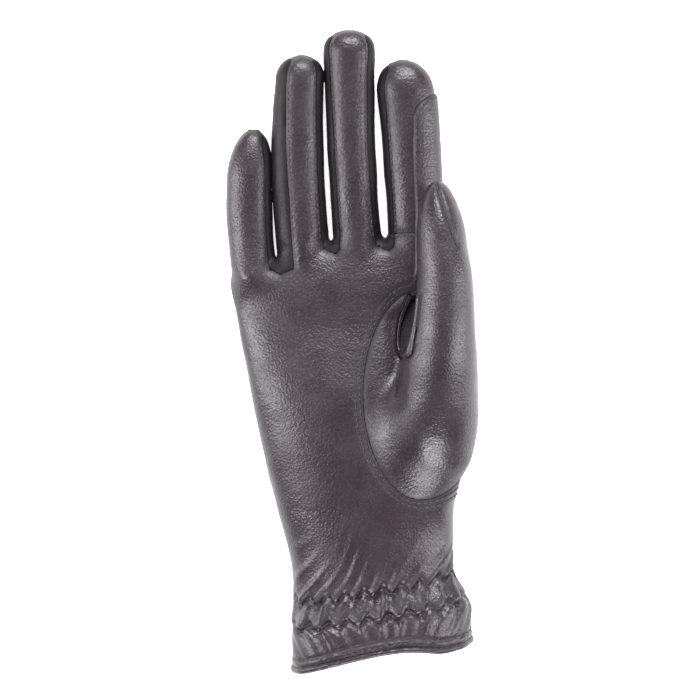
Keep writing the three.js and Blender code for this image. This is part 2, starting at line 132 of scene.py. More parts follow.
# Along in shares of the thumb's length, middle in shares of the palm's width, and the others in shares
# of the thumb's width, clearance and depth.
thumb_sections = {
    "along": [0, 0.03, 0.08, 0.14, 0.22, 0.33, 0.44, 0.54, 0.6, 0.7, 0.8, 1],
    "middle": [0.46, 0.44, 0.43, 0.437, 0.452, 0.473, 0.484, 0.5, 0.505, 0.507, 0.494, 0.472],
    "width": [0.7, 1.1, 1.4, 1.52, 1.53, 1.42, 1.29, 1.1, 1.03, 0.95, 0.87, 0.76],
    "low": [0.6, 0.54, 0.44, 0.4, 0.4, 0.44, 0.6, 0.9, 1, 1, 0.98, 0.95],
    "high": [0.12, 0.3, 0.5, 0.68, 0.87, 1, 1.05, 1.03, 1, 0.94, 0.86, 0.72],
}
# How far the seams beside each finger gap lie in from the fingers' sides, from crotch to tip, in shares
# of a finger's width.
gap_seams = [
    ([0.16, 0.13, 0.13, 0.16], [0.28, 0.31, 0.26, 0.2]),
    ([0.12, 0.1, 0.1, 0.12], [0.13, 0.12, 0.1, 0.07]),
    ([0.12, 0.13, 0.13, 0.1], [0.1, 0.08, 0.08, 0.12]),
]
# Free edge of the rein panel and lip of the slit, in shares of the finger, the thumb and the palm's width.
overlay_edge = {
    "along": [0.84, 0.81, 0.745, 0.67, 0.4, 0.1, -0.16, -0.22],
    "place": [0.5, 0.47, 0.39, 0.362, 0.361, 0.371, 0.368, 0.357],
}
lip_line = {
    "along": [0.648, 0.62, 0.57, 0.5, 0.458, 0.454],
    "place": [0.345, 0.325, 0.297, 0.286, 0.3, 0.33],
}
slit_right_leg = [[28.4, 120.6], [29.2, 123.5], [29.6, 127.5], [30.4, 131.5]]
slit_top = [31.5, 143.0]

# Lines on the thumb, seen from above: the seam that closes it, and the valley beside the slit.
thumb_seam = ((37.3, 186.1, 0), (40.0, 177.8, 0), (41.9, 171.3, 0), (43.4, 166.8, 0), (45.3, 162.2, 0))
thumb_valley = ((21.8, 134, 0), (23.2, 124, 0), (23.8, 113, 0), (22.8, 103, 0))

# Rise of the wavy hem, from one side of the cuff to the other.
hem_waves = {
    "along": [-1, -0.75, -0.5, -0.25, 0, 0.2, 0.45, 0.7, 1],
    "rise": [0, 1.7, 3.2, 4.2, 4.6, 4.4, 2.9, 0.6, 0],
}

# Rows of stitches: heights over the hem, distances from the oval seam and distances from other seams.
zigzag_rows = (16.0, 25.5)
zigzag_reach = 1.9
zigzag_count = 20
zigzag_steepness = 0.75  # turns a height into a distance across the slanted line
hem_rows = (0.5, 3.6)
oval_rows = (1.2, 2.9)
seam_row = 1.1
second_seam_row = 2.6

# The stage, in metres and watts: each soft light's name, place, size and power, and where they and the
# camera point.
softboxes = (
    ("left_softbox", (-0.77, 0.12, 0.53), (0.3, 0.9), 11.5),
    ("right_softbox", (0.8, 0.05, 0.5), (0.3, 0.9), 9.5),
    ("far_softbox", (0.1, 0.95, 0.75), (0.7, 0.3), 19),
    ("near_softbox", (0.05, -1.0, 0.6), (0.7, 0.3), 16),
)
light_colour = (0.98, 0.96, 1.0)
lit_place = (0, 0, 0.02)
camera_aim = (-0.00076, 0.00057, 0.015)


def smooth(low, high, value):
    """Soft step from 0 at low to 1 at high."""
    share = np.clip((value - low) / (high - low), 0, 1)
    return share * share * (3 - 2 * share)


def follow(table, column, at):
    """Smooth value of a table's column at places along it, with no overshoot between its rows."""
    x = np.array(table["along"], float)
    y = np.array(table[column], float)
    slope = np.diff(y) / np.diff(x)
    product = slope[:-1] * slope[1:]
    total = np.where(product > 0, slope[:-1] + slope[1:], 1)
    tangent = np.concatenate([slope[:1], np.where(product > 0, 2 * product / total, 0), slope[-1:]])
    at = np.clip(at, x[0], x[-1])
    i = np.clip(np.searchsorted(x, at, side="right") - 1, 0, len(x) - 2)
    step = x[i + 1] - x[i]
    t = (at - x[i]) / step
    start = y[i] * (1 + 2 * t) * (1 - t) ** 2 + tangent[i] * step * t * (1 - t) ** 2
    return start + y[i + 1] * (3 - 2 * t) * t * t + tangent[i + 1] * step * t * t * (t - 1)


def bend(values, at):
    """Value of a curve through three values, at the root, halfway and at the tip."""
    root, half, tip = values
    return root * (2 * at - 1) * (at - 1) + half * 4 * at * (1 - at) + tip * at * (2 * at - 1)


def ripples(points, size, seed, waves=14):
    """Smooth random unevenness of about the given size, from -1 to 1, the same in each run."""
    chance = np.random.default_rng(seed)
    total = np.zeros(len(points))
    for _ in range(waves):
        way = chance.normal(size=3)
        way *= 2 * math.pi / (size * (0.7 + 0.6 * chance.random()) * np.linalg.norm(way))
        total += np.sin(points @ way + chance.random() * 2 * math.pi)
    return total / math.sqrt(waves)


def bell(away, reach):
    """Soft bump of height 1 where away is zero."""
    return np.exp(-(away / reach) ** 2)


def rounded(angle, width, height, square):
    """Two coordinates of points at angles round a section with rounded corners."""
    across, up = np.cos(angle), np.sin(angle)
    return (np.sign(across) * np.abs(across) ** (2 / square) * width / 2,
            np.sign(up) * np.abs(up) ** (2 / square) * height / 2)


def even_ring(width, low, high, square, count):
    """Angle, X and Z of evenly spaced points round a section, from the thumb side towards the palm."""
    fine = np.linspace(0, 2 * math.pi, 1441)
    x, z = rounded(fine, width, high - low, square)
    length = np.concatenate([[0], np.cumsum(np.hypot(np.diff(x), np.diff(z)))])
    angle = np.interp(np.arange(count) * length[-1] / count, length, fine)
    x, z = rounded(angle, width, high - low, square)
    return angle, x, z + (high + low) / 2


def hand_section(along):
    """Middle, width and height of the hand's section."""
    return (follow(hand_sections, "middle", along) * palm_width, follow(hand_sections, "width", along),
            follow(hand_sections, "high", along))


def in_section(x, z, middle, width, high):
    """Where points lie in a section of the hand, across it and up it, from -1 to 1."""
    return (x - middle) / (width / 2), (2 * z - high + floor_press) / (high + floor_press)


def hem_lift(x, z):
    """Rise of the slanted and wavy hem at a point of the cuff."""
    across, up = in_section(x, z, *hand_section(0))
    return hem_slant * across - hem_tilt * up + hem_wave(across, up)


def hem_wave(across, up):
    """Rise of the wavy hem over the straight slanted one, on the palm's side only."""
    return follow(hem_waves, "rise", np.clip(across, -1, 1)) * smooth(0.1, 0.8, up)


def slant_share(along):
    """How much of the hem's slant the sections have. It fades out in the palm."""
    return np.clip((0.5 - along) / 0.3, 0, 1)


def hand_ring(along, count, turn=0.0, spread=3.2, nose=4.5):
    """Points of the hand's section. The turn closes the hand's end over, from 0 to 1."""
    middle, width, high = hand_section(along)
    lean = math.cos(turn * math.pi / 2)
    angle, x, z = even_ring(width - 2 * spread * (1 - lean), -floor_press, high, hand_square, count)
    half = (high - floor_press) / 2
    z = half + (z - half) * lean
    x = x + middle
    y = along * hand_length + hem_middle * max(1 - along / 0.2, 0)
    if along < 0.5:
        depth = (1 - smooth(0.3, 0.45, along)) * gathers(angle, y - hem_middle)
        x = x + depth * np.cos(angle)
        z = z + depth * np.sin(angle)
    root = np.clip((along - 0.72) / 0.28, 0, 1) ** 2
    across, up = in_section(x, z, middle, width, high)
    lift = slant_share(along) * (hem_slant * across - hem_tilt * up)
    lift = lift + root * hand_length * follow(root_line, "rise", x / palm_width)
    return np.stack([x, y + nose * math.sin(turn * math.pi / 2) + lift, z], axis=1)


@functools.lru_cache(maxsize=1)
def wrist_turns():
    """Section angles at even steps round the wrist, and those steps as parts of a turn."""
    count = 360
    angle, _, _ = even_ring(wrist_width, -floor_press, wrist_high, hand_square, count)
    return np.append(angle, 2 * math.pi), np.arange(count + 1) / count


def round_wrist(angle):
    """How far round the wrist a section angle lies, in zigzags."""
    return zigzag_count * np.interp(angle % (2 * math.pi), *wrist_turns())


def zigzag(angle):
    """Height of the zigzag above its row's middle, from -1 to 1, at an angle round the wrist."""
    phase = round_wrist(angle) % 1
    return 1 - 4 * np.abs(phase - 0.5)


def gathers(angle, up):
    """Folds of the gathered wrist in millimetres, at an angle round it and a height over the hem."""
    turns = round_wrist(angle)
    low, high = zigzag_rows
    lively = 0.72 + 0.34 * np.sin(1.7 * turns + 0.6) + 0.2 * np.sin(4.1 * turns + 2.2)
    over = np.maximum(up - high, 0)
    lean = turns + 0.75 * over / gather_pitch + 0.35 * np.sin(0.9 * turns + 1) * over / gather_pitch
    reach = 7.5 + 3.5 * np.sin(2.3 * turns + 0.4)
    above = (np.cos(2 * math.pi * lean) + 0.3 * np.sin(4 * math.pi * lean + 1)) * np.exp(-over / reach)
    share = np.clip((high - up) / (high - low), 0, 1)
    between = -np.cos(2 * math.pi * (turns - 0.5 * share)) - 0.25 * np.cos(4 * math.pi * turns + 1.2 + 0.3 * up)
    under = np.maximum(low - up, 0)
    side = np.sin(2 * math.pi * turns / zigzag_count + math.pi / 2)
    splay = turns - 0.8 * side * under / gather_pitch
    below = -(np.cos(2 * math.pi * splay) + 0.3 * np.cos(4 * math.pi * splay + 0.5)) * np.exp(-under / 8.5)
    is_above, is_below = smooth(high - 1.2, high + 1.2, up), 1 - smooth(low - 1.2, low + 1.2, up)
    fold = above * is_above + below * is_below + between * (1 - is_above) * (1 - is_below)
    pinch = 0.0
    for row in zigzag_rows:
        away = np.abs(up - row - zigzag_reach * zigzag(angle)) * zigzag_steepness
        pinch = pinch + np.exp(-(away / 0.75) ** 1.5)
    bulge = bell(up - (low + high) / 2, 4.5)
    return fold_height * fold * lively + puff_height * bulge - pinch_depth * pinch


def finger_share(finger, at):
    """How far along a finger a height lies, from 0 at its root to 1 at its tip."""
    return np.clip((at - finger_root) / (hand_length + finger["length"] - finger_root), 0, 1)


def finger_ring(finger, at, taper, count):
    """Points of a finger's section at a height, narrowed towards its tip."""
    share = finger_share(finger, at)
    width = (bend(finger["widths"], share) * palm_width + finger_fullness * smooth(0.2, 0.5, share)) * taper
    depth = finger["depth"] * (1 - finger_thinning * share)
    depth += (knuckle_depth - depth) * max(1 - 3 * share, 0.0) ** 2
    hidden = 1 - float(smooth(0, 0.13, share))
    width *= 1 - 0.07 * hidden
    low = -floor_press * taper + finger["depth"] * 0.32 * (1 - taper) + 2.2 * hidden
    high = depth * (0.5 + 0.5 * taper)
    _, x, z = even_ring(width, low, high, finger_square, count)
    x = x + bend(finger["places"], share) * palm_width
    return np.stack([x, np.full(count, float(at)), z], axis=1)


def thumb_ring(along, taper, count):
    """Points of the thumb's section, narrowed towards its tip."""
    low = follow(thumb_sections, "low", along) * thumb_clearance
    high = thumb_clearance + follow(thumb_sections, "high", along) * thumb_depth
    middle = (low + high) / 2
    low, high = middle - (middle - low) * (0.25 + 0.75 * taper), middle + (high - middle) * (0.1 + 0.9 * taper)
    width = follow(thumb_sections, "width", along) * thumb_width * taper
    _, x, z = even_ring(width, low, high, thumb_square, count)
    x = x + follow(thumb_sections, "middle", along) * palm_width
    return np.stack([x, np.full(count, thumb_foot + along * thumb_length), z], axis=1)


def tip_taper(distance, tip_length, power):
    """How much of its full width a rounded tip has, at a distance from its end."""
    share = min(max(distance / tip_length, 0.0), 1.0)
    return (1 - (1 - share) ** power) ** (1 / power)


def tube(rings):
    """Points and faces of a closed tube through rings of equal count, with a point at each end."""
    count = len(rings[0])
    points = np.concatenate([*rings, rings[0].mean(0)[None], rings[-1].mean(0)[None]])
    i = np.arange(count)
    after = (i + 1) % count
    faces = []
    for r in range(len(rings) - 1):
        a, b = r * count, (r + 1) * count
        faces.append(np.stack([a + i, b + i, a + after], axis=1))
        faces.append(np.stack([a + after, b + i, b + after], axis=1))
    start, end = len(points) - 2, len(points) - 1
    last = (len(rings) - 1) * count
    faces.append(np.stack([np.full(count, start), i, after], axis=1))
    faces.append(np.stack([np.full(count, end), last + after, last + i], axis=1))
    return points, np.concatenate(faces)


def hand_tube(count=232):
    """The hand from past the hem to its rounded end under the fingers."""
    rings = [hand_ring(0, count) - [0, hem_overrun * share, 0] for share in (1, 0.66, 0.33)]
    rings += [hand_ring(along, count) for along in np.linspace(0, 0.29, 88)]
    rings += [hand_ring(along, count) for along in np.linspace(0.296, 0.975, 122)]
    rings += [hand_ring(0.975 + 0.002 * turn, count, turn) for turn in np.linspace(0.1, 0.985, 10)]
    return tube(rings)


def finger_tube(finger, count=60):
    """One finger from inside the hand to its tip."""
    tip = hand_length + finger["length"]
    straight_end = tip - finger["tip_length"]
    rings = [finger_ring(finger, tube_start, 0.8, count)]
    steps = int((straight_end - finger_start) / 0.95)
    rings += [finger_ring(finger, at, 1, count) for at in np.linspace(finger_start, straight_end, steps)]
    for share in np.cos(np.linspace(0, 1, 18)[1:] * math.pi / 2 * 0.985):
        distance = share * finger["tip_length"]
        taper = tip_taper(distance, finger["tip_length"], finger["tip_power"])
        rings.append(finger_ring(finger, tip - distance, max(taper, 0.04), count))
    return tube(rings)


def thumb_tube(count=80):
    """The thumb from its wide root to its tip."""
    tip_start = 1 - thumb_tip_length / thumb_length
    rings = [thumb_ring(along, 1, count) for along in np.linspace(0, tip_start, 104)]
    for share in np.cos(np.linspace(0, 1, 26)[1:] * math.pi / 2 * 0.985):
        along = 1 - share * thumb_tip_length / thumb_length
        rings.append(thumb_ring(along, max(tip_taper(share, 1, 2), 0.04), count))
    return tube(rings)


def shown(name, data):
    """New object in the scene that shows the data."""
    thing = bpy.data.objects.new(name, data)
    bpy.context.scene.collection.objects.link(thing)
    return thing


def scratch_object(points, faces):
    """A throw-away object from points and triangles, in millimetres."""
    mesh = bpy.data.meshes.new("scratch")
    mesh.from_pydata(points.tolist(), [], faces.tolist())
    return shown("scratch", mesh)


def finished_mesh(thing):
    """New mesh of an object with its modifiers applied."""
    return bpy.data.meshes.new_from_object(thing.evaluated_get(bpy.context.evaluated_depsgraph_get()))


def triangles_of(mesh):
    """Points and triangles of a mesh as arrays."""
    mesh.calc_loop_triangles()
    points = np.empty(len(mesh.vertices) * 3)
    mesh.vertices.foreach_get("co", points)
    faces = np.empty(len(mesh.loop_triangles) * 3, int)
    mesh.loop_triangles.foreach_get("vertices", faces)
    return points.reshape(-1, 3), faces.reshape(-1, 3)


def joined(tubes):
    """One closed skin round all the tubes."""
    things = [scratch_object(*part) for part in tubes]
    base = things[0]
    for other in things[1:]:
        union = base.modifiers.new("union", "BOOLEAN")
        union.operation = "UNION"
        union.solver = "MANIFOLD"
        union.object = other
    result = finished_mesh(base)
    for thing in things:
        mesh = thing.data
        bpy.data.objects.remove(thing)
        bpy.data.meshes.remove(mesh)
    solid = bmesh.new()
    solid.from_mesh(result)
    bmesh.ops.triangulate(solid, faces=solid.faces)
    bmesh.ops.remove_doubles(solid, verts=solid.verts, dist=0.15)
    bmesh.ops.dissolve_degenerate(solid, edges=solid.edges, dist=0.02)
    bmesh.ops.triangulate(solid, faces=solid.faces)
    solid.to_mesh(result)
    solid.free()
    points, faces = triangles_of(result)
    bpy.data.meshes.remove(result)
    return points, faces


def unit(vectors):
    """Vectors of the same directions, each of length 1."""
    return vectors / np.maximum(np.linalg.norm(vectors, axis=1, keepdims=True), 1e-12)


def face_normals(points, faces):
    """Directions that the triangles face, each as long as twice its triangle's area."""
    a, b, c = (points[faces[:, k]] for k in range(3))
    return np.cross(b - a, c - a)


def point_normals(points, faces):
    """Unit normals at the points, each face weighing by its area."""
    across = face_normals(points, faces)
    total = np.zeros_like(points)
    for k in range(3):
        for axis in range(3):
            total[:, axis] += np.bincount(faces[:, k], across[:, axis], len(points))
    return unit(total)


def half_edges(faces):
    """The three directed edges of every triangle."""
    return np.concatenate([faces[:, [0, 1]], faces[:, [1, 2]], faces[:, [2, 0]]])


def edges_of(faces):
    """Each edge once, with the two faces beside it."""
    half = half_edges(faces)
    owner = np.tile(np.arange(len(faces)), 3)
    key = np.sort(half, axis=1)
    order = np.lexsort((key[:, 1], key[:, 0]))
    key, owner = key[order], owner[order]
    first = np.concatenate([[True], np.any(key[1:] != key[:-1], axis=1)])
    start = np.flatnonzero(first)
    after = np.minimum(start + 1, len(key) - 1)
    beside = np.where(np.append(first[1:], True)[start], owner[start], owner[after])
    return key[start], owner[start], beside


def distance_to(points, targets, reach):
    """Distance from each point to the nearest target, up to a reach."""
    away = np.full(len(points), reach)
    if not len(targets):
        return away
    tree = KDTree(len(targets))
    for i, target in enumerate(targets):
        tree.insert(target, i)
    tree.balance()
    low, high = targets.min(0) - reach, targets.max(0) + reach
    for i in np.flatnonzero(np.all((points > low) & (points < high), axis=1)):
        away[i] = min(tree.find(points[i])[2], reach)
    return away


def softened(points, faces, weight, rounds):
    """Points moved towards the middle of their neighbours, each by its own weight."""
    edges, _, _ = edges_of(faces)
    both = np.concatenate([edges, edges[:, ::-1]])
    count = np.maximum(np.bincount(both[:, 0], minlength=len(points)), 1)
    points = points.copy()
    for _ in range(rounds):
        middle = np.stack([np.bincount(both[:, 0], points[both[:, 1], axis], len(points)) / count
                           for axis in range(3)], axis=1)
        points += (middle - points) * weight[:, None]
    return points


def soften_creases(points, faces):
    """Rounds the webs at the finger roots and the thumb's root, where the tubes met in sharp creases."""
    edges, left, right = edges_of(faces)
    normal = unit(face_normals(points, faces))
    middle = points[edges].mean(1)
    sharp = (normal[left] * normal[right]).sum(1) < math.cos(math.radians(24))
    at_roots = (middle[:, 1] > 0.78 * hand_length) & (middle[:, 1] < 1.09 * hand_length) & (middle[:, 2] < 20)
    at_thumb = (middle[:, 0] > 8) & (middle[:, 1] > thumb_foot - 4) & (middle[:, 1] < 150) & (middle[:, 2] > 9)
    palm_side = at_roots & (middle[:, 2] > 10.5)
    at_foot = at_thumb & (middle[:, 1] < 98)
    for region, reach, rounds in ((at_roots, 3.0, 20), (palm_side, 7.0, 90), (at_thumb & ~at_roots, 4.5, 40),
                                  (at_foot, 17.0, 260)):
        away = distance_to(points, middle[sharp & region], reach)
        weight = 0.6 * smooth(0, 1, 1 - away / reach)
        if region is palm_side:
            weight = weight * smooth(9, 12.5, points[:, 2])
        points = softened(points, faces, weight, rounds)
    return points


def polygon_depth(outline, x, y):
    """Distance inside a closed outline seen from above, below zero outside it."""
    outline = np.array(outline)
    start, end = outline, np.roll(outline, -1, axis=0)
    nearest = np.full(len(x), np.inf)
    inside = np.zeros(len(x), bool)
    for (ax, ay), (bx, by) in zip(start, end):
        dx, dy = bx - ax, by - ay
        share = np.clip(((x - ax) * dx + (y - ay) * dy) / max(dx * dx + dy * dy, 1e-12), 0, 1)
        nearest = np.minimum(nearest, np.hypot(x - ax - share * dx, y - ay - share * dy))
        crosses = (ay > y) != (by > y)
        slant = dx / dy if dy else 0.0
        inside ^= crosses & (x < ax + (y - ay) * slant)
    return np.where(inside, nearest, -nearest)


def finger_side(finger, at, side):
    """X of a finger's full side at a height, -1 for the little finger's side and 1 for the thumb's."""
    share = finger_share(finger, at)
    return (bend(finger["places"], share) + side * bend(finger["widths"], share) / 2) * palm_width


def gap_seam(finger, insets, side, start, steps=28):
    """Points of the seam on one side of a finger gap, from the crotch to past the fingertip."""
    tip = hand_length + finger["length"]
    end = tip - 0.35 * finger["tip_length"]
    points = []
    for at in np.linspace(start, end, steps):
        share = finger_share(finger, at)
        taper = tip_taper(tip - at, finger["tip_length"], finger["tip_power"])
        inset = np.interp((at - start) / (end - start), np.linspace(0, 1, len(insets)), insets)
        width = bend(finger["widths"], share) * palm_width * taper
        points.append([bend(finger["places"], share) * palm_width + side * width * (0.5 - inset), at])
    return [*points, [points[-1][0], tip + past_tip]]


def gap_outline(k):
    """Outline between two fingers' seams, seen from above."""
    left_share = fingers[k]["places"][0] + fingers[k]["widths"][0] / 2
    right_share = fingers[k + 1]["places"][0] - fingers[k + 1]["widths"][0] / 2
    share = (left_share + right_share) / 2
    x, y = share * palm_width, hand_length * (1 + float(follow(root_line, "rise", share)))
    left = gap_seam(fingers[k], gap_seams[k][0], 1, y - crotch_web)
    right = gap_seam(fingers[k + 1], gap_seams[k][1], -1, y - crotch_web)
    side = 1 if fingers[k]["length"] > fingers[k + 1]["length"] else -1
    longer = fingers[k] if side > 0 else fingers[k + 1]
    between = [[finger_side(longer, seam[-1][1], side) + side * past_tip, seam[-1][1]] for seam in (right, left)]
    return [[x, y - gap_foot_depth], *right, *between, *left[::-1]]


def oval_depth(x, y):
    """Distance inside the oval seam round the thumb's root."""
    across, up = x - oval_middle[0], y - oval_middle[1]
    half = np.where(across > 0, oval_outer_width, oval_inner_width)
    size = np.sqrt((across / half) ** 2 + (up / (oval_length / 2)) ** 2)
    slope = np.sqrt((across / half ** 2) ** 2 + (up / (oval_length / 2) ** 2) ** 2) / np.maximum(size, 1e-6)
    return (1 - size) / np.maximum(slope, 1e-4)


def panel_depths(points):
    """How deep each point lies inside each leather panel, in millimetres, below zero outside it."""
    x, y, z = points.T
    front = z - np.interp(y, *seam_height_points)
    gaps = [np.minimum.reduce([polygon_depth(gap_outline(k), x, y), z - fourchette_seam_height,
                               thumb_clearance - 0.5 - z]) for k in range(3)]
    free = np.minimum.reduce([x - 0.3 * palm_width, y - thumb_foot - thumb_length / 2,
                              z - thumb_clearance + 0.4])
    thumb = np.maximum(np.minimum(oval_depth(x, y), front), free)
    between = (finger_side(fingers[2], y, 1) + finger_side(fingers[3], y, -1)) / 2
    index = np.minimum(y - hand_length - index_base_seam, x - between)
    no_gap = -np.maximum.reduce(gaps)
    return {
        "palm_panel": np.minimum.reduce([front, no_gap, -thumb, -index]),
        "back_panel": np.minimum.reduce([-front, no_gap, -thumb]),
        "index_front": np.minimum.reduce([front, no_gap, -thumb, index]),
        "fourchette_little_ring": gaps[0],
        "fourchette_ring_middle": gaps[1],
        "fourchette_middle_index": gaps[2],
        "thumb_panel": thumb,
    }


def clipped(columns, faces, field):
    """Part of a triangle mesh where a field over its points is above zero."""
    inside = field > 0
    count = inside[faces].sum(1)
    kept = [faces[count == 3]]
    one, two = faces[count == 1], faces[count == 2]
    turn = np.argmax(inside[one], axis=1)
    one = np.stack([one[np.arange(len(one)), (turn + k) % 3] for k in range(3)], axis=1)
    turn = np.argmin(inside[two], axis=1)
    two = np.stack([two[np.arange(len(two)), (turn + k) % 3] for k in range(3)], axis=1)
    pairs = np.concatenate([one[:, [0, 1]], one[:, [0, 2]], two[:, [1, 0]], two[:, [2, 0]]])
    edge = np.sort(pairs, axis=1)
    _, first, where = np.unique(edge[:, 0] * len(field) + edge[:, 1], return_index=True, return_inverse=True)
    inner, outer = pairs[first, 0], pairs[first, 1]
    share = (field[inner] / (field[inner] - field[outer]))[:, None]
    fresh = columns[inner] * (1 - share) + columns[outer] * share
    new = len(columns) + where
    n1, n2 = len(one), len(two)
    a, b, c, d = new[:n1], new[n1:2 * n1], new[2 * n1:2 * n1 + n2], new[2 * n1 + n2:]
    kept.append(np.stack([one[:, 0], a, b], axis=1))
    kept.append(np.stack([c, two[:, 1], two[:, 2]], axis=1))
    kept.append(np.stack([c, two[:, 2], d], axis=1))
    columns, faces = np.concatenate([columns, fresh]), np.concatenate(kept)
    used, faces = np.unique(faces, return_inverse=True)
    return columns[used], faces.reshape(-1, 3)


def rim_of(faces):
    """Directed edges round the open border of a mesh."""
    half = half_edges(faces)
    forward = half[:, 0] * (faces.max() + 1) + half[:, 1]
    backward = half[:, 1] * (faces.max() + 1) + half[:, 0]
    return half[~np.isin(forward, backward)]


def walled(outer, faces, inner):
    """Closed wall between an outer and an inner surface. Its second set of faces is the inside."""
    count = len(outer)
    rim = rim_of(faces)
    a, b = rim[:, 0], rim[:, 1]
    sides = np.concatenate([np.stack([b, a, a + count], axis=1), np.stack([b, a + count, b + count], axis=1)])
    points = np.concatenate([outer, inner])
    all_faces = np.concatenate([faces, sides, faces[:, ::-1] + count])
    inside = np.concatenate([np.zeros(len(faces) + len(sides), int), np.ones(len(faces), int)])
    return points, all_faces, inside


def slit_line():
    """The slit's lip seen from above, a narrow loop that opens towards the fingers."""
    along = np.array(lip_line["along"])
    left = np.stack([np.array(lip_line["place"]) * palm_width, thumb_foot + along * thumb_length], axis=1)
    line = np.concatenate([left, slit_right_leg])
    for _ in range(3):
        line = corners_cut(line)
    return line


def slit_outline():
    """The whole slit seen from above."""
    return [*slit_line().tolist(), slit_top]


def corners_cut(line):
    """The same line with its corners cut."""
    before, after = line[:-1], line[1:]
    cut = np.stack([before * 0.75 + after * 0.25, before * 0.25 + after * 0.75], axis=1).reshape(-1, line.shape[1])
    return np.concatenate([line[:1], cut, line[-1:]])


def hem_depth(points):
    """Distance of each point past the hem's edge, towards the fingers."""
    x, y, z = points.T
    return y - hem_middle - hem_lift(x, z)


def near_zigzags(points):
    """How near each point lies to a zigzag row of the wrist, from 0 to 1."""
    x, _, z = points.T
    up = hem_depth(points)
    across, rise = in_section(x, z, *hand_section(np.clip(up / cuff_reach, 0, 0.25)))
    power = hand_square / 2
    angle = np.arctan2(np.sign(rise) * np.abs(rise) ** power, np.sign(across) * np.abs(across) ** power)
    nearest = np.minimum.reduce([np.abs(up - row - zigzag_reach * zigzag(angle)) for row in zigzag_rows])
    return bell(nearest * zigzag_steepness, 0.55)


def away_from(line, points, reach):
    """Distance of each point from a line, seen from above, up to a reach."""
    flat = [1, 1, 0]
    return distance_to(points * flat, refined(line) * flat, reach)


def oval_rows_at(points, normals):
    """Where the rows of stitches round the oval seam draw the palm in, from 0 to 1."""
    x, y, z = points.T
    outside = -oval_depth(x, y)
    on_palm = (x < oval_middle[0] - 3) | (y < oval_middle[1] - 0.18 * oval_length)
    return 0.8 * sum(bell(outside - row, 0.55) for row in oval_rows) * on_palm * (z > 9) * (normals[:, 2] > 0.1)


@functools.lru_cache(maxsize=2)
def skin(groove_depth, groove_width):
    """The glove's outer skin in millimetres: points, triangles, normals, each panel's depths and painted shade in
    its grooves and the slit's pit.
    """
    tubes = [hand_tube(), *[finger_tube(finger) for finger in fingers], thumb_tube()]
    points, faces = joined(tubes)
    points = soften_creases(points, faces)
    depths = panel_depths(points)
    seam = np.maximum(np.maximum.reduce(list(depths.values())), 0)
    normals = point_normals(points, faces)
    upward = normals[:, 2]
    hem = hem_depth(points)
    move = -groove_depth * np.exp(-seam / groove_width)
    move += hem_roll * bell(hem - 2, 0.8) - hem_edge_depth * np.exp(-np.maximum(hem, 0) / 0.8)
    move -= hem_row_depth * bell(hem - hem_rows[1], 0.6)
    move += 0.07 * ripples(points, 19, 3) + 0.02 * ripples(points * [1, 2.2, 1], 8, 5)
    closing = bell(away_from(thumb_seam, points, 3.0), 0.8) * (points[:, 2] > 20)
    sewn_rows = oval_rows_at(points, normals)
    valley = bell(away_from(thumb_valley, points, 9.0), 3.2) * (points[:, 2] > 9) * smooth(0.1, 0.5, upward)
    move -= closing_depth * closing + row_depth * sewn_rows + valley
    points = points + normals * move[:, None]
    pit = polygon_depth(slit_outline(), points[:, 0], points[:, 1])
    level = smooth(0.15, 0.5, upward) * (points[:, 2] > 12) * (points[:, 2] < 40)
    points[:, 2] -= slit_depth * smooth(-0.9, 1.1, pit) * level
    height = points[:, 2]
    points[:, 2] = (height + np.sqrt(height ** 2 + 0.15)) / 2  # nothing sinks into the floor
    # Painted shade, from 0 to 1: darkest in the seam grooves, the thumb's closing seam, the oval's sewn rows, the
    # slit's pit, the hem's edge and upper row and the zigzag grooves, where the leather is drawn in.
    dark = np.maximum.reduce([closing, smooth(0, 1.5, pit) * level, sewn_rows, np.exp(-seam / 1.2),
                              np.exp(-np.maximum(hem, 0) / 0.7), 0.7 * bell(hem - hem_rows[1], 0.5),
                              near_zigzags(points)])
    return points, faces, point_normals(points, faces), depths, dark


def skin_now():
    """The skin with the seam sizes that are set."""
    seams = bpy.context.scene.glove_seams
    return skin(round(seams.groove_depth * 1000, 4), round(seams.groove_width * 1000, 4))


def placed(points):
    """Points in metres in the frame's place."""
    return (points + frame_shift) * 0.001


def dressed(name, points, faces, nodes, materials, looks=None, seam=None):
    """Finished piece from points in millimetres, riding on the glove in the place of its CAD nodes."""
    mesh = bpy.data.meshes.new(name)
    mesh.vertices.add(len(points))
    mesh.vertices.foreach_set("co", placed(points).ravel())
    mesh.loops.add(len(faces) * 3)
    mesh.loops.foreach_set("vertex_index", faces.ravel().astype(np.int32))
    mesh.polygons.add(len(faces))
    mesh.polygons.foreach_set("loop_start", np.arange(0, len(faces) * 3, 3, dtype=np.int32))
    mesh.update(calc_edges=True)
    mesh.polygons.foreach_set("use_smooth", np.ones(len(faces), bool))
    if looks is not None:
        mesh.polygons.foreach_set("material_index", looks.astype(np.int32))
    # The seam attribute carries the painted shade that the leather's colour is darkened by.
    if seam is not None:
        layer = mesh.attributes.new("seam", "FLOAT", "POINT")
        layer.data.foreach_set("value", seam.astype(np.float32))
    for material in materials:
        mesh.materials.append(material)
    mesh.set_sharp_from_angle(angle=math.radians(62))
    mesh.update()
    return carried(shown(name, mesh), nodes)


def carried(piece, nodes=()):
    """Rides a piece on the glove and lets it stand for its CAD nodes."""
    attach(piece, "root")
    for node in nodes:
        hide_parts(node)
    return piece


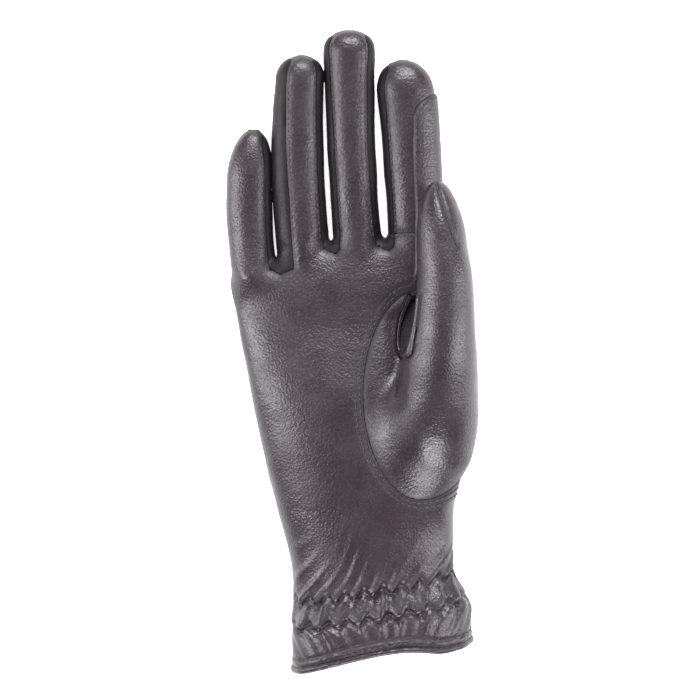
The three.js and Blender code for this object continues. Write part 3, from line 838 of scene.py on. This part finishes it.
def leather_panel(node, look):
    """One panel of the skin, cut out along its seams, with its wall and its suede inside."""
    points, faces, normals, depths, near = skin_now()
    thickness = bpy.context.scene.glove_leather.thickness * 1000
    field = np.minimum(depths[node] - panel_gap, hem_depth(points))
    columns, faces = clipped(np.column_stack([points, normals, near]), faces, field)
    outer, normal, near = columns[:, :3], columns[:, 3:6], columns[:, 6]
    normal = unit(normal)
    inner = outer - normal * thickness
    inner[:, 2] = np.maximum(inner[:, 2], 0.6)
    points, faces, inside = walled(outer, faces, inner)
    return dressed(f"{node}_leather", points, faces, [node], [look(), suede()], inside,
                   np.concatenate([near, near]))


class Looks:
    """Small helper that adds nodes to a new material and links them."""

    def __init__(self, name):
        self.material = bpy.data.materials.new(name)
        self.material.use_nodes = True
        self.nodes = self.material.node_tree.nodes
        self.links = self.material.node_tree.links
        self.shader = self.nodes["Principled BSDF"]
        self.place = self.nodes.new("ShaderNodeTexCoord").outputs["Object"]

    def put(self, node, inputs):
        """Sets a node's inputs, and links those whose value comes from another node."""
        for key, value in dict(inputs).items():
            if isinstance(value, bpy.types.NodeSocket):
                self.links.new(value, node.inputs[key])
            else:
                node.inputs[key].default_value = value
        return node

    def add(self, kind, inputs=(), **settings):
        """New node with its settings and inputs."""
        node = self.nodes.new(kind)
        for key, value in settings.items():
            setattr(node, key, value)
        return self.put(node, inputs)

    def finish(self, inputs):
        """Puts the inputs on the material's own shader."""
        self.put(self.shader, inputs)
        return self.material

    def noise(self, size, detail=2.0, rough=0.5):
        """Noise with features of a size in metres."""
        return self.add("ShaderNodeTexNoise", {"Vector": self.place, "Scale": 1 / size, "Detail": detail,
                                               "Roughness": rough}).outputs["Fac"]

    def cells(self, size):
        """Distance to the middle of soft-edged cells of a size in metres."""
        return self.add("ShaderNodeTexVoronoi", {"Vector": self.place, "Scale": 1 / size},
                        feature="SMOOTH_F1").outputs["Distance"]

    def spread(self, value, low, high, to_low, to_high):
        """A value's range carried over to another range."""
        return self.add("ShaderNodeMapRange", {"Value": value, "From Min": low, "From Max": high,
                                               "To Min": to_low, "To Max": to_high}).outputs["Result"]

    def maths(self, operation, a, b):
        """Two values added, taken away or multiplied."""
        return self.add("ShaderNodeMath", {0: a, 1: b}, operation=operation).outputs[0]

    def mix(self, share, a, b):
        """Two colours mixed."""
        node = self.add("ShaderNodeMix", {"Factor": share, "A": (*a, 1) if isinstance(a, tuple) else a,
                                          "B": (*b, 1) if isinstance(b, tuple) else b}, data_type="RGBA")
        return node.outputs["Result"]

    def bump(self, height, distance, strength=1.0, below=None):
        """Surface raised by a height, on top of another bump if one is given."""
        inputs = {"Height": height, "Distance": distance, "Strength": strength}
        if below is not None:
            inputs["Normal"] = below
        return self.add("ShaderNodeBump", inputs).outputs["Normal"]


def grained_leather(name, colour, warmth, gloss, shine=0.5):
    """Fine-grained glove leather: pebbles, faint creases, uneven dye, worn gloss and painted shade from the seam
    attribute.
    """
    known = bpy.data.materials.get(name)
    if known:
        return known
    sizes = bpy.context.scene.glove_leather
    look = Looks(name)
    base = tuple(colour)
    warm = (base[0] * (1 + 0.35 * warmth), base[1] * (1 - 0.06 * warmth), base[2] * (1 - 0.02 * warmth))
    dark = tuple(0.4 * v for v in base)
    clouds = look.spread(look.noise(0.03, 3), 0.35, 0.68, 0, 1)
    dyed = look.mix(clouds, base, warm)
    grain = sizes.grain_size
    pebbles = look.spread(look.cells(grain), 0.05, 0.6, 1.0, 0.0)
    specks = look.spread(look.noise(0.0011, 4, 0.65), 0.35, 0.68, 0.0, 1.0)
    pits = look.maths("SUBTRACT", 1.0, pebbles)
    dyed = look.mix(look.maths("MULTIPLY", look.maths("ADD", pits, specks), 0.45), dyed, dark)
    # Painted shade: the seam attribute darkens the colour towards a quarter of its own, and roughens it, in the
    # grooves, edges and pit that it marks.
    near = look.add("ShaderNodeAttribute", attribute_name="seam", attribute_type="GEOMETRY").outputs["Fac"]
    dyed = look.mix(look.spread(near, 0.3, 0.9, 0.0, 0.9), dyed, tuple(0.25 * v for v in base))
    creases = look.noise(grain * 0.9, 2, 0.5)
    height = look.maths("ADD", look.maths("MULTIPLY", pebbles, 0.8), look.maths("MULTIPLY", creases, 0.3))
    rough = look.spread(look.noise(0.011, 3), 0.3, 0.7, gloss - 0.05, gloss + 0.08)
    rough = look.maths("ADD", rough, look.maths("MULTIPLY", specks, 0.08))
    rough = look.maths("ADD", rough, look.maths("MULTIPLY", near, 0.3))
    folds = look.bump(look.noise(0.009, 1), 0.0004, 0.06)
    return look.finish({"Base Color": dyed, "Roughness": rough, "Specular IOR Level": shine,
                        "Normal": look.bump(height, sizes.grain_depth, 0.8, folds),
                        "Coat Weight": 0.06, "Coat Roughness": 0.3})


def palm_leather():
    """Dark brown leather of the palm, the back and the thumb."""
    sizes = bpy.context.scene.glove_leather
    return grained_leather("dark_brown_leather", sizes.colour, 0.3, sizes.gloss)


def side_leather():
    """Duller, more reddish leather of the strips between the fingers, its colour made much darker than the palm's
    as painted shade between the fingers.
    """
    sizes = bpy.context.scene.glove_leather
    return grained_leather("reddish_shaded_side_leather", sizes.shaded_side_colour, 0.6, sizes.gloss + 0.12, 0.25)


def binding_leather():
    """Smoother leather of the hem's binding and the slit's lip."""
    sizes = bpy.context.scene.glove_leather
    return grained_leather("binding_leather", sizes.binding_colour, 0.4, sizes.gloss - 0.03)


def suede():
    """The unlined inside of the leather, with its short nap."""
    known = bpy.data.materials.get("suede_inside")
    if known:
        return known
    look = Looks("suede_inside")
    nap = look.spread(look.noise(0.0009, 4, 0.65), 0.3, 0.7, 0, 1)
    return look.finish({"Base Color": look.mix(nap, (0.1, 0.075, 0.072), (0.17, 0.135, 0.13)), "Roughness": 0.95,
                        "Normal": look.bump(look.noise(0.0005, 3), 0.0002, 0.7), "Sheen Weight": 0.25})


def sewing_thread():
    """Twisted dark sewing thread."""
    known = bpy.data.materials.get("sewing_thread")
    if known:
        return known
    look = Looks("sewing_thread")
    colour = tuple(bpy.context.scene.glove_seams.thread_colour)
    shade = look.spread(look.noise(0.0022, 2), 0.3, 0.7, 0, 1)
    return look.finish({"Base Color": look.mix(shade, colour, tuple(1.9 * v for v in colour)), "Roughness": 0.48,
                        "Normal": look.bump(look.noise(0.00022, 2), 0.00006, 0.8)})


def studio_floor(glow):
    """White acrylic floor, faintly lit from below."""
    look = Looks("pale_floor")
    shade = look.spread(look.noise(0.4, 2), 0.3, 0.7, 0, 1)
    return look.finish({"Base Color": look.mix(shade, (0.93, 0.93, 0.93), (0.9, 0.9, 0.9)), "Roughness": 0.9,
                        "Emission Color": (1, 1, 1, 1), "Emission Strength": glow})


def skin_tree():
    """The skin as a tree that finds where a line meets it."""
    points, faces, _, _, _ = skin_now()
    return BVHTree.FromPolygons(points.tolist(), faces.tolist())


def from_above(tree, x, y, top):
    """Place and normal where a line straight down from a height meets the skin."""
    return tree.ray_cast(Vector((x, y, top)), Vector((0, 0, -1)))[:2]


def laid_on(tree, line, over=0.0, top=60.0, steepest=0.2):
    """Runs of points where a line seen from above lies on the skin, from the highest given point down."""
    runs = [[]]
    for x, y in line:
        place, normal = from_above(tree, x, y, top)
        if place is None or normal.z < steepest or (runs[-1] and (runs[-1][-1] - place).length > 5):
            runs.append([])
        if place is not None and normal.z >= steepest:
            runs[-1].append(place + normal * over)
    return [np.array(run) for run in runs if len(run) > 3]


def wrist_line(tree, heights, angles, over=0.0):
    """Points round the wrist at heights over the hem, laid on the skin from outside."""
    points = []
    for up, angle in zip(heights, angles):
        along = up / cuff_reach if up < 24 else (up + hem_middle) / hand_length
        middle, width, high = (float(value) for value in hand_section(along))
        x, z = (float(value) for value in rounded(angle, width, high + floor_press, hand_square))
        across, rise = x / (width / 2), z / ((high + floor_press) / 2)
        lift = slant_share(along) * (hem_slant * across - hem_tilt * rise)
        lift += max(1 - up / 9, 0) * float(hem_wave(across, rise))
        centre = Vector((middle, up + hem_middle + lift, (high - floor_press) / 2))
        away = Vector((x, 0, z))
        place, normal, _, _ = tree.ray_cast(centre + away * 1.6, -away.normalized())
        if place is not None:
            points.append(place + normal * over)
    return np.array(points)


def offset_line(line, side):
    """A line seen from above, moved sideways to its left."""
    line = np.array(line, float)
    way = unit(np.gradient(line, axis=0))
    return line + side * np.stack([-way[:, 1], way[:, 0]], axis=1)


def refined(line, step=0.6):
    """A line with points at even steps."""
    line = np.array(line, float)
    length = np.concatenate([[0], np.cumsum(np.linalg.norm(np.diff(line, axis=0), axis=1))])
    at = np.linspace(0, length[-1], max(int(length[-1] / step), 2))
    return np.stack([np.interp(at, length, line[:, axis]) for axis in range(line.shape[1])], axis=1)


def overlay_line():
    """The rein panel's free edge, seen from above, from the fingertip to its foot."""
    index = fingers[3]["length"]
    foot, tip = overlay_edge["along"][-1], overlay_edge["along"][0]
    along = np.linspace(tip, foot, 90)
    place = follow({"along": overlay_edge["along"][::-1], "place": overlay_edge["place"][::-1]}, "place", along)
    return np.stack([place * palm_width, hand_length + along * index], axis=1)


def stitch_rows():
    """Lines of every row of stitches on the skin."""
    tree = skin_tree()
    thread = bpy.context.scene.glove_seams.thread_thickness * 1000
    over = 0.12 * thread
    under_thumb = 19.0
    first = hand_length - 4
    rows = []
    angle = np.radians(np.linspace(108, 338, 240))
    for away in oval_rows:
        half = np.where(np.cos(angle) > 0, oval_outer_width, oval_inner_width) + away
        oval = np.stack([oval_middle[0] + half * np.cos(angle),
                         oval_middle[1] + (oval_length / 2 + away) * np.sin(angle)], axis=1)
        rows += laid_on(tree, oval, over, steepest=0.12)
    for k in range(3):
        left = gap_seam(fingers[k], gap_seams[k][0], 1, first)[2:-2]
        right = gap_seam(fingers[k + 1], gap_seams[k][1], -1, first)[2:-2]
        rows += laid_on(tree, refined(offset_line(left, seam_row)), over, under_thumb)
        rows += laid_on(tree, refined(offset_line(right, -seam_row)), over, under_thumb)
        if k == 2:
            rows += laid_on(tree, refined(offset_line(left, second_seam_row)), over, under_thumb)
    rows += laid_on(tree, refined(offset_line(overlay_line(), 1.2)), over + 1.05, 17.6)
    cross = [[x, hand_length + index_base_seam - seam_row] for x in np.linspace(21.5, 30.5, 20)]
    rows += laid_on(tree, cross, over, under_thumb)
    rows += laid_on(tree, refined(thumb_seam)[:, :2], over)
    angles = np.linspace(0, 2 * math.pi, 721)
    for row in zigzag_rows:
        rows.append(wrist_line(tree, row + zigzag_reach * zigzag(angles), angles, over + 0.1))
    for up in hem_rows:
        rows.append(wrist_line(tree, np.full(361, up), angles[::2], over))
    return rows


def stitch_nodes():
    """Geometry Nodes tree that sets stitches along lines."""
    tree = bpy.data.node_groups.new("stitches_along_lines", "GeometryNodeTree")
    face = tree.interface
    face.new_socket("Geometry", in_out="INPUT", socket_type="NodeSocketGeometry")
    for label in ("Stitch pitch", "Stitch length", "Thread thickness"):
        face.new_socket(label, in_out="INPUT", socket_type="NodeSocketFloat").subtype = "DISTANCE"
    face.new_socket("Thread", in_out="INPUT", socket_type="NodeSocketMaterial")
    face.new_socket("Geometry", in_out="OUTPUT", socket_type="NodeSocketGeometry")
    add = tree.nodes.new
    given, result = add("NodeGroupInput"), add("NodeGroupOutput")
    curve, points = add("GeometryNodeMeshToCurve"), add("GeometryNodeCurveToPoints")
    points.mode = "LENGTH"
    ball = add("GeometryNodeMeshUVSphere")
    ball.inputs["Segments"].default_value = 8
    ball.inputs["Rings"].default_value = 6
    ball.inputs["Radius"].default_value = 0.5
    turn = add("FunctionNodeAlignRotationToVector")
    turn.axis = "Z"
    size = add("ShaderNodeCombineXYZ")
    instances, real = add("GeometryNodeInstanceOnPoints"), add("GeometryNodeRealizeInstances")
    smooth_faces, finish = add("GeometryNodeSetShadeSmooth"), add("GeometryNodeSetMaterial")
    for start, output, end, entry in (
            (given, "Geometry", curve, "Mesh"), (curve, "Curve", points, "Curve"),
            (given, "Stitch pitch", points, "Length"), (points, "Tangent", turn, "Vector"),
            (given, "Thread thickness", size, "X"), (given, "Thread thickness", size, "Y"),
            (given, "Stitch length", size, "Z"), (points, "Points", instances, "Points"),
            (ball, "Mesh", instances, "Instance"), (turn, "Rotation", instances, "Rotation"),
            (size, "Vector", instances, "Scale"), (instances, "Instances", real, "Geometry"),
            (real, "Geometry", smooth_faces, "Geometry"), (smooth_faces, "Geometry", finish, "Geometry"),
            (given, "Thread", finish, "Material"), (finish, "Geometry", result, "Geometry")):
        tree.links.new(start.outputs[output], end.inputs[entry])
    return tree


def sewn(name, rows):
    """Stitches set along rows of points, as one plain mesh."""
    seams = bpy.context.scene.glove_seams
    points, edges = [], []
    for row in rows:
        row[:, 2] = np.maximum(row[:, 2], seams.thread_thickness * 1000)
        start = len(points)
        points += [Vector(p) for p in placed(row)]
        edges += [(start + i, start + i + 1) for i in range(len(row) - 1)]
    mesh = bpy.data.meshes.new(name)
    mesh.from_pydata(points, edges, [])
    lines = shown(name, mesh)
    tree = stitch_nodes()
    steps = lines.modifiers.new("stitches", "NODES")
    steps.node_group = tree
    values = {"Stitch pitch": seams.stitch_pitch, "Stitch length": seams.stitch_length,
              "Thread thickness": seams.thread_thickness, "Thread": sewing_thread()}
    for item in tree.interface.items_tree:
        if item.in_out == "INPUT" and item.name in values:
            steps[item.identifier] = values[item.name]
    lines.update_tag()
    made = finished_mesh(lines)
    bpy.data.objects.remove(lines)
    made.name = name
    if not made.polygons:
        raise RuntimeError(f"{name} came out empty")
    return carried(shown(name, made))


def rein_leather():
    """Second layer of leather over the index finger's outer side, with turned edges."""
    points, faces, normals, _, _ = skin_now()
    line = overlay_line()
    outline = [*line.tolist(), [palm_width, line[-1, 1]], [palm_width, line[0, 1]]]
    x, y, z = points.T
    depth = np.minimum.reduce([polygon_depth(outline, x, y), z - overlay_low, overlay_high - z])
    # Painted shade along the panel's raised edge, carried in the seam attribute.
    near = np.exp(-np.maximum(depth, 0) / 0.9)
    columns, faces = clipped(np.column_stack([points, normals, depth, near]), faces, depth)
    base, normal, depth, near = columns[:, :3], columns[:, 3:6], columns[:, 6:7], columns[:, 7]
    normal = unit(normal)
    outer = base + normal * (overlay_edge_height + overlay_height * np.sqrt(smooth(0, 1.1, depth)))
    points, faces, inside = walled(outer, faces, base + normal * overlay_under)
    return dressed("rein_panel_leather", points, faces, ["rein_panel"], [palm_leather(), suede()],
                   inside, np.concatenate([near, near]))


def swept(line, normals, section, closed):
    """Points and triangles of a section carried along a line. The section is (across, out) pairs."""
    count, corners = len(line), len(section)
    way = unit(np.roll(line, -1, 0) - np.roll(line, 1, 0) if closed else np.gradient(line, axis=0))
    out = unit(normals - way * (normals * way).sum(1, keepdims=True))
    across = np.cross(way, out)
    points = (line[:, None] + across[:, None] * section[:, 0][None, :, None]
              + out[:, None] * section[:, 1][None, :, None]).reshape(-1, 3)
    i = np.arange(count if closed else count - 1)[:, None]
    j = np.arange(corners)[None]
    a, b = i * corners + j, i * corners + (j + 1) % corners
    c, d = ((i + 1) % count) * corners + j, ((i + 1) % count) * corners + (j + 1) % corners
    faces = np.concatenate([np.stack([a, b, c], -1).reshape(-1, 3), np.stack([c, b, d], -1).reshape(-1, 3)])
    if not closed:
        ends = len(points) + np.array([0, 1])
        points = np.concatenate([points, line[:1], line[-1:]])
        j = np.arange(corners)
        last = (count - 1) * corners
        faces = np.concatenate([faces, np.stack([np.full(corners, ends[0]), (j + 1) % corners, j], 1),
                                np.stack([np.full(corners, ends[1]), last + j, last + (j + 1) % corners], 1)])
    return points, outward(points, faces)


def outward(points, faces):
    """The same closed triangles, turned to face outwards."""
    a, b, c = (points[faces[:, k]] for k in range(3))
    return faces if (np.cross(a, b) * c).sum() > 0 else faces[:, ::-1]


def rounded_section(width, height, corners=12, square=3.0):
    """Small section with rounded corners."""
    angle = np.linspace(0, 2 * math.pi, corners, endpoint=False)
    return np.stack(rounded(angle, width, height, square), axis=1)


def slit_lip():
    """Raised lip of the slit at the thumb's crotch, a folded strip bent into a loop."""
    tree = skin_tree()
    line, normals = [], []
    for x, y in refined(slit_line(), 0.7):
        place, normal = from_above(tree, x, y, 60)
        line.append(place)
        normals.append(normal)
    line, normals = np.array(line), np.array(normals)
    for _ in range(6):
        line[1:-1] = (line[:-2] + line[1:-1] * 2 + line[2:]) / 4
        normals[1:-1] = (normals[:-2] + normals[1:-1] * 2 + normals[2:]) / 4
    normals = unit(normals + [0, 0, 1.2])
    points, faces = swept(line + normals * lip_over, normals, rounded_section(*lip_section), False)
    return dressed("slit_lip_leather", points, faces, ["thumb_slit_lip"], [binding_leather()])


def hem_bead():
    """Rolled binding round the cuff's end."""
    tree = skin_tree()
    count = 420
    angles = np.linspace(0, 2 * math.pi, count, endpoint=False)
    line = wrist_line(tree, np.full(count, 0.25), angles)
    away = unit((line - line.mean(0)) * [1, 0, 1])
    line = line - away * bead_inwards - [0, bead_past_hem, 0]
    line[:, 2] = np.maximum(line[:, 2], 1.2)
    line += away * (0.12 * ripples(line, 14, 21))[:, None]
    points, faces = swept(line, away, rounded_section(*bead_section), True)
    points[:, 2] = np.maximum(points[:, 2], 0.02)
    return dressed("hem_binding_leather", points, faces, ["hem_binding"], [binding_leather()])


def softbox(name, place, size, power):
    """Soft light that points at the glove's middle."""
    light = bpy.data.lights.new(name, "AREA")
    light.shape = "RECTANGLE"
    light.size, light.size_y = size
    light.energy = power
    light.color = light_colour
    lamp = shown(name, light)
    lamp.location = place
    lamp.rotation_euler = (Vector(lit_place) - Vector(place)).to_track_quat("-Z", "Y").to_euler()


def build_stage():
    """Floor, soft lights and the camera straight over the glove."""
    studio = bpy.context.scene.glove_studio
    mesh = bpy.data.meshes.new("floor")
    half = 1.6
    mesh.from_pydata([(-half, -half, 0), (half, -half, 0), (half, half, 0), (-half, half, 0)], [], [(0, 1, 2, 3)])
    mesh.materials.append(studio_floor(studio.floor_glow))
    floor = shown("floor", mesh)
    power = studio.light_power
    for name, place, size, share in softboxes:
        softbox(name, place, size, share * power)
    world = bpy.data.worlds.new("studio")
    world.use_nodes = True
    light = world.node_tree.nodes["Background"].inputs
    light["Color"].default_value = (1, 1, 1, 1)
    light["Strength"].default_value = studio.surround
    bpy.context.scene.world = world
    bpy.context.scene.view_settings.view_transform = "Standard"
    lens = bpy.data.cameras.new("camera")
    lens.lens, lens.sensor_width = 200, 36
    lens.clip_start, lens.clip_end = 0.1, 10
    camera = shown("camera", lens)
    distance = studio.view_width * lens.lens / lens.sensor_width
    camera.location = Vector(camera_aim) + Vector((0, 0, distance))
    bpy.context.scene.camera = camera


class GloveLeather(bpy.types.PropertyGroup):
    """Leather of the panels."""
    thickness: FloatProperty(name="Thickness", description="Thickness of the leather", default=0.0011,
                             min=0.0005, max=0.002, unit="LENGTH", precision=5)
    grain_size: FloatProperty(name="Grain size", description="Size of the leather's pebbles", default=0.0008,
                              min=0.0002, max=0.003, unit="LENGTH", precision=5)
    grain_depth: FloatProperty(name="Grain depth", description="Depth of the leather's grain", default=0.00012,
                               min=0, max=0.001, unit="LENGTH", precision=5)
    gloss: FloatProperty(name="Roughness", description="Roughness of the finish", default=0.34, min=0.1, max=0.9,
                         subtype="FACTOR")
    colour: FloatVectorProperty(name="Leather", description="Colour of the palm, back and thumb", size=3,
                                default=(0.028, 0.0192, 0.0262), min=0, max=1, subtype="COLOR")
    # The strips' colour is their reddish tone made much darker than the palm's, as painted shade between the
    # fingers.
    shaded_side_colour: FloatVectorProperty(name="Side leather", description="Colour of the strips between fingers",
                                     size=3, default=(0.009, 0.0056, 0.0074), min=0, max=1, subtype="COLOR")
    binding_colour: FloatVectorProperty(name="Binding", description="Colour of the hem binding and the lip",
                                        size=3, default=(0.025, 0.0175, 0.021), min=0, max=1, subtype="COLOR")


class GloveSeams(bpy.types.PropertyGroup):
    """Seams and stitches."""
    groove_depth: FloatProperty(name="Groove depth", description="How far a seam draws the leather in",
                                default=0.0006, min=0, max=0.002, unit="LENGTH", precision=5)
    groove_width: FloatProperty(name="Groove width", description="How far from the seam the leather is drawn in",
                                default=0.0009, min=0.0002, max=0.003, unit="LENGTH", precision=5)
    stitch_pitch: FloatProperty(name="Stitch pitch", description="Distance between stitches", default=0.0023,
                                min=0.001, max=0.01, unit="LENGTH", precision=5)
    stitch_length: FloatProperty(name="Stitch length", description="Length of the thread seen in a stitch",
                                 default=0.0019, min=0.0005, max=0.01, unit="LENGTH", precision=5)
    thread_thickness: FloatProperty(name="Thread thickness", description="Thickness of the thread",
                                    default=0.0006, min=0.0001, max=0.002, unit="LENGTH", precision=5)
    thread_colour: FloatVectorProperty(name="Thread", description="Colour of the thread", size=3,
                                       default=(0.022, 0.0165, 0.02), min=0, max=1, subtype="COLOR")


class GloveStudio(bpy.types.PropertyGroup):
    """Stage, lights and camera."""
    light_power: FloatProperty(name="Light", description="Strength of the soft lights", default=1.0, min=0, max=20)
    surround: FloatProperty(name="Surround", description="Strength of the light from all round", default=0.05,
                            min=0, max=5)
    floor_glow: FloatProperty(name="Floor glow", description="Light that the floor itself gives", default=0.75,
                              min=0, max=5)
    view_width: FloatProperty(name="View width", description="Width of the floor that the camera sees",
                              default=0.2651, min=0.05, max=2, unit="LENGTH")


class SewPalm(bpy.types.Operator):
    """Palm panel with the fronts of the little, ring and middle fingers"""
    bl_idname = "glove.sew_palm"
    bl_label = "Palm panel"

    def execute(self, context):
        leather_panel("palm_panel", palm_leather)
        return {"FINISHED"}


class SewBack(bpy.types.Operator):
    """Back panel of the hand and of all fingers"""
    bl_idname = "glove.sew_back"
    bl_label = "Back panel"

    def execute(self, context):
        leather_panel("back_panel", palm_leather)
        return {"FINISHED"}


class SewIndexFront(bpy.types.Operator):
    """Front of the index finger, past the cross seam at its root"""
    bl_idname = "glove.sew_index_front"
    bl_label = "Index finger front"

    def execute(self, context):
        leather_panel("index_front", palm_leather)
        return {"FINISHED"}


class SewFourchettes(bpy.types.Operator):
    """Side strips between the fingers"""
    bl_idname = "glove.sew_fourchettes"
    bl_label = "Strips between fingers"

    def execute(self, context):
        for node in ("fourchette_little_ring", "fourchette_ring_middle", "fourchette_middle_index"):
            leather_panel(node, side_leather)
        return {"FINISHED"}


class SewThumb(bpy.types.Operator):
    """Thumb with its wide root, inside the oval seam"""
    bl_idname = "glove.sew_thumb"
    bl_label = "Thumb panel"

    def execute(self, context):
        leather_panel("thumb_panel", palm_leather)
        return {"FINISHED"}


class LayReinPanel(bpy.types.Operator):
    """Second layer of leather over the index finger's outer side"""
    bl_idname = "glove.lay_rein_panel"
    bl_label = "Rein panel"

    def execute(self, context):
        rein_leather()
        return {"FINISHED"}


class FoldSlitLip(bpy.types.Operator):
    """Raised lip of the slit at the thumb's crotch"""
    bl_idname = "glove.fold_slit_lip"
    bl_label = "Slit lip"

    def execute(self, context):
        slit_lip()
        return {"FINISHED"}


class RollHemBinding(bpy.types.Operator):
    """Rolled binding round the cuff's end"""
    bl_idname = "glove.roll_hem_binding"
    bl_label = "Hem binding"

    def execute(self, context):
        hem_bead()
        return {"FINISHED"}


class SewStitches(bpy.types.Operator):
    """Every row of stitches, with the zigzag rows that gather the wrist"""
    bl_idname = "glove.sew_stitches"
    bl_label = "Stitches"

    def execute(self, context):
        sewn("stitching", stitch_rows())
        return {"FINISHED"}


class SetStage(bpy.types.Operator):
    """Pale floor, soft studio lights and the camera over the glove"""
    bl_idname = "glove.set_stage"
    bl_label = "Stage"

    def execute(self, context):
        build_stage()
        return {"FINISHED"}


making_order = (SewPalm, SewBack, SewIndexFront, SewFourchettes, SewThumb, LayReinPanel, FoldSlitLip,
                RollHemBinding, SewStitches, SetStage)


class GlovePanel(bpy.types.Panel):
    """Sizes, colours and pieces of the riding glove"""
    bl_idname = "VIEW3D_PT_riding_glove"
    bl_label = "Riding Glove"
    bl_space_type = "VIEW_3D"
    bl_region_type = "UI"
    bl_category = "Riding Glove"

    def draw(self, context):
        for group in (context.scene.glove_leather, context.scene.glove_seams, context.scene.glove_studio):
            box = self.layout.box()
            for name in group.__annotations__:
                box.prop(group, name)
        column = self.layout.column(align=True)
        for step in making_order:
            column.operator(step.bl_idname)


classes = (GloveLeather, GloveSeams, GloveStudio, *making_order, GlovePanel)


def register():
    """Adds the sizes, the steps and the panel."""
    for each in classes:
        bpy.utils.register_class(each)
    bpy.types.Scene.glove_leather = PointerProperty(type=GloveLeather)
    bpy.types.Scene.glove_seams = PointerProperty(type=GloveSeams)
    bpy.types.Scene.glove_studio = PointerProperty(type=GloveStudio)


def unregister():
    """Takes them away again."""
    for name in ("glove_leather", "glove_seams", "glove_studio"):
        delattr(bpy.types.Scene, name)
    for each in reversed(classes):
        bpy.utils.unregister_class(each)


def main():
    """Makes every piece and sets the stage."""
    register()
    for step in making_order:
        category, name = step.bl_idname.split(".")
        getattr(getattr(bpy.ops, category), name)()


if __name__ == "__main__":
    main()
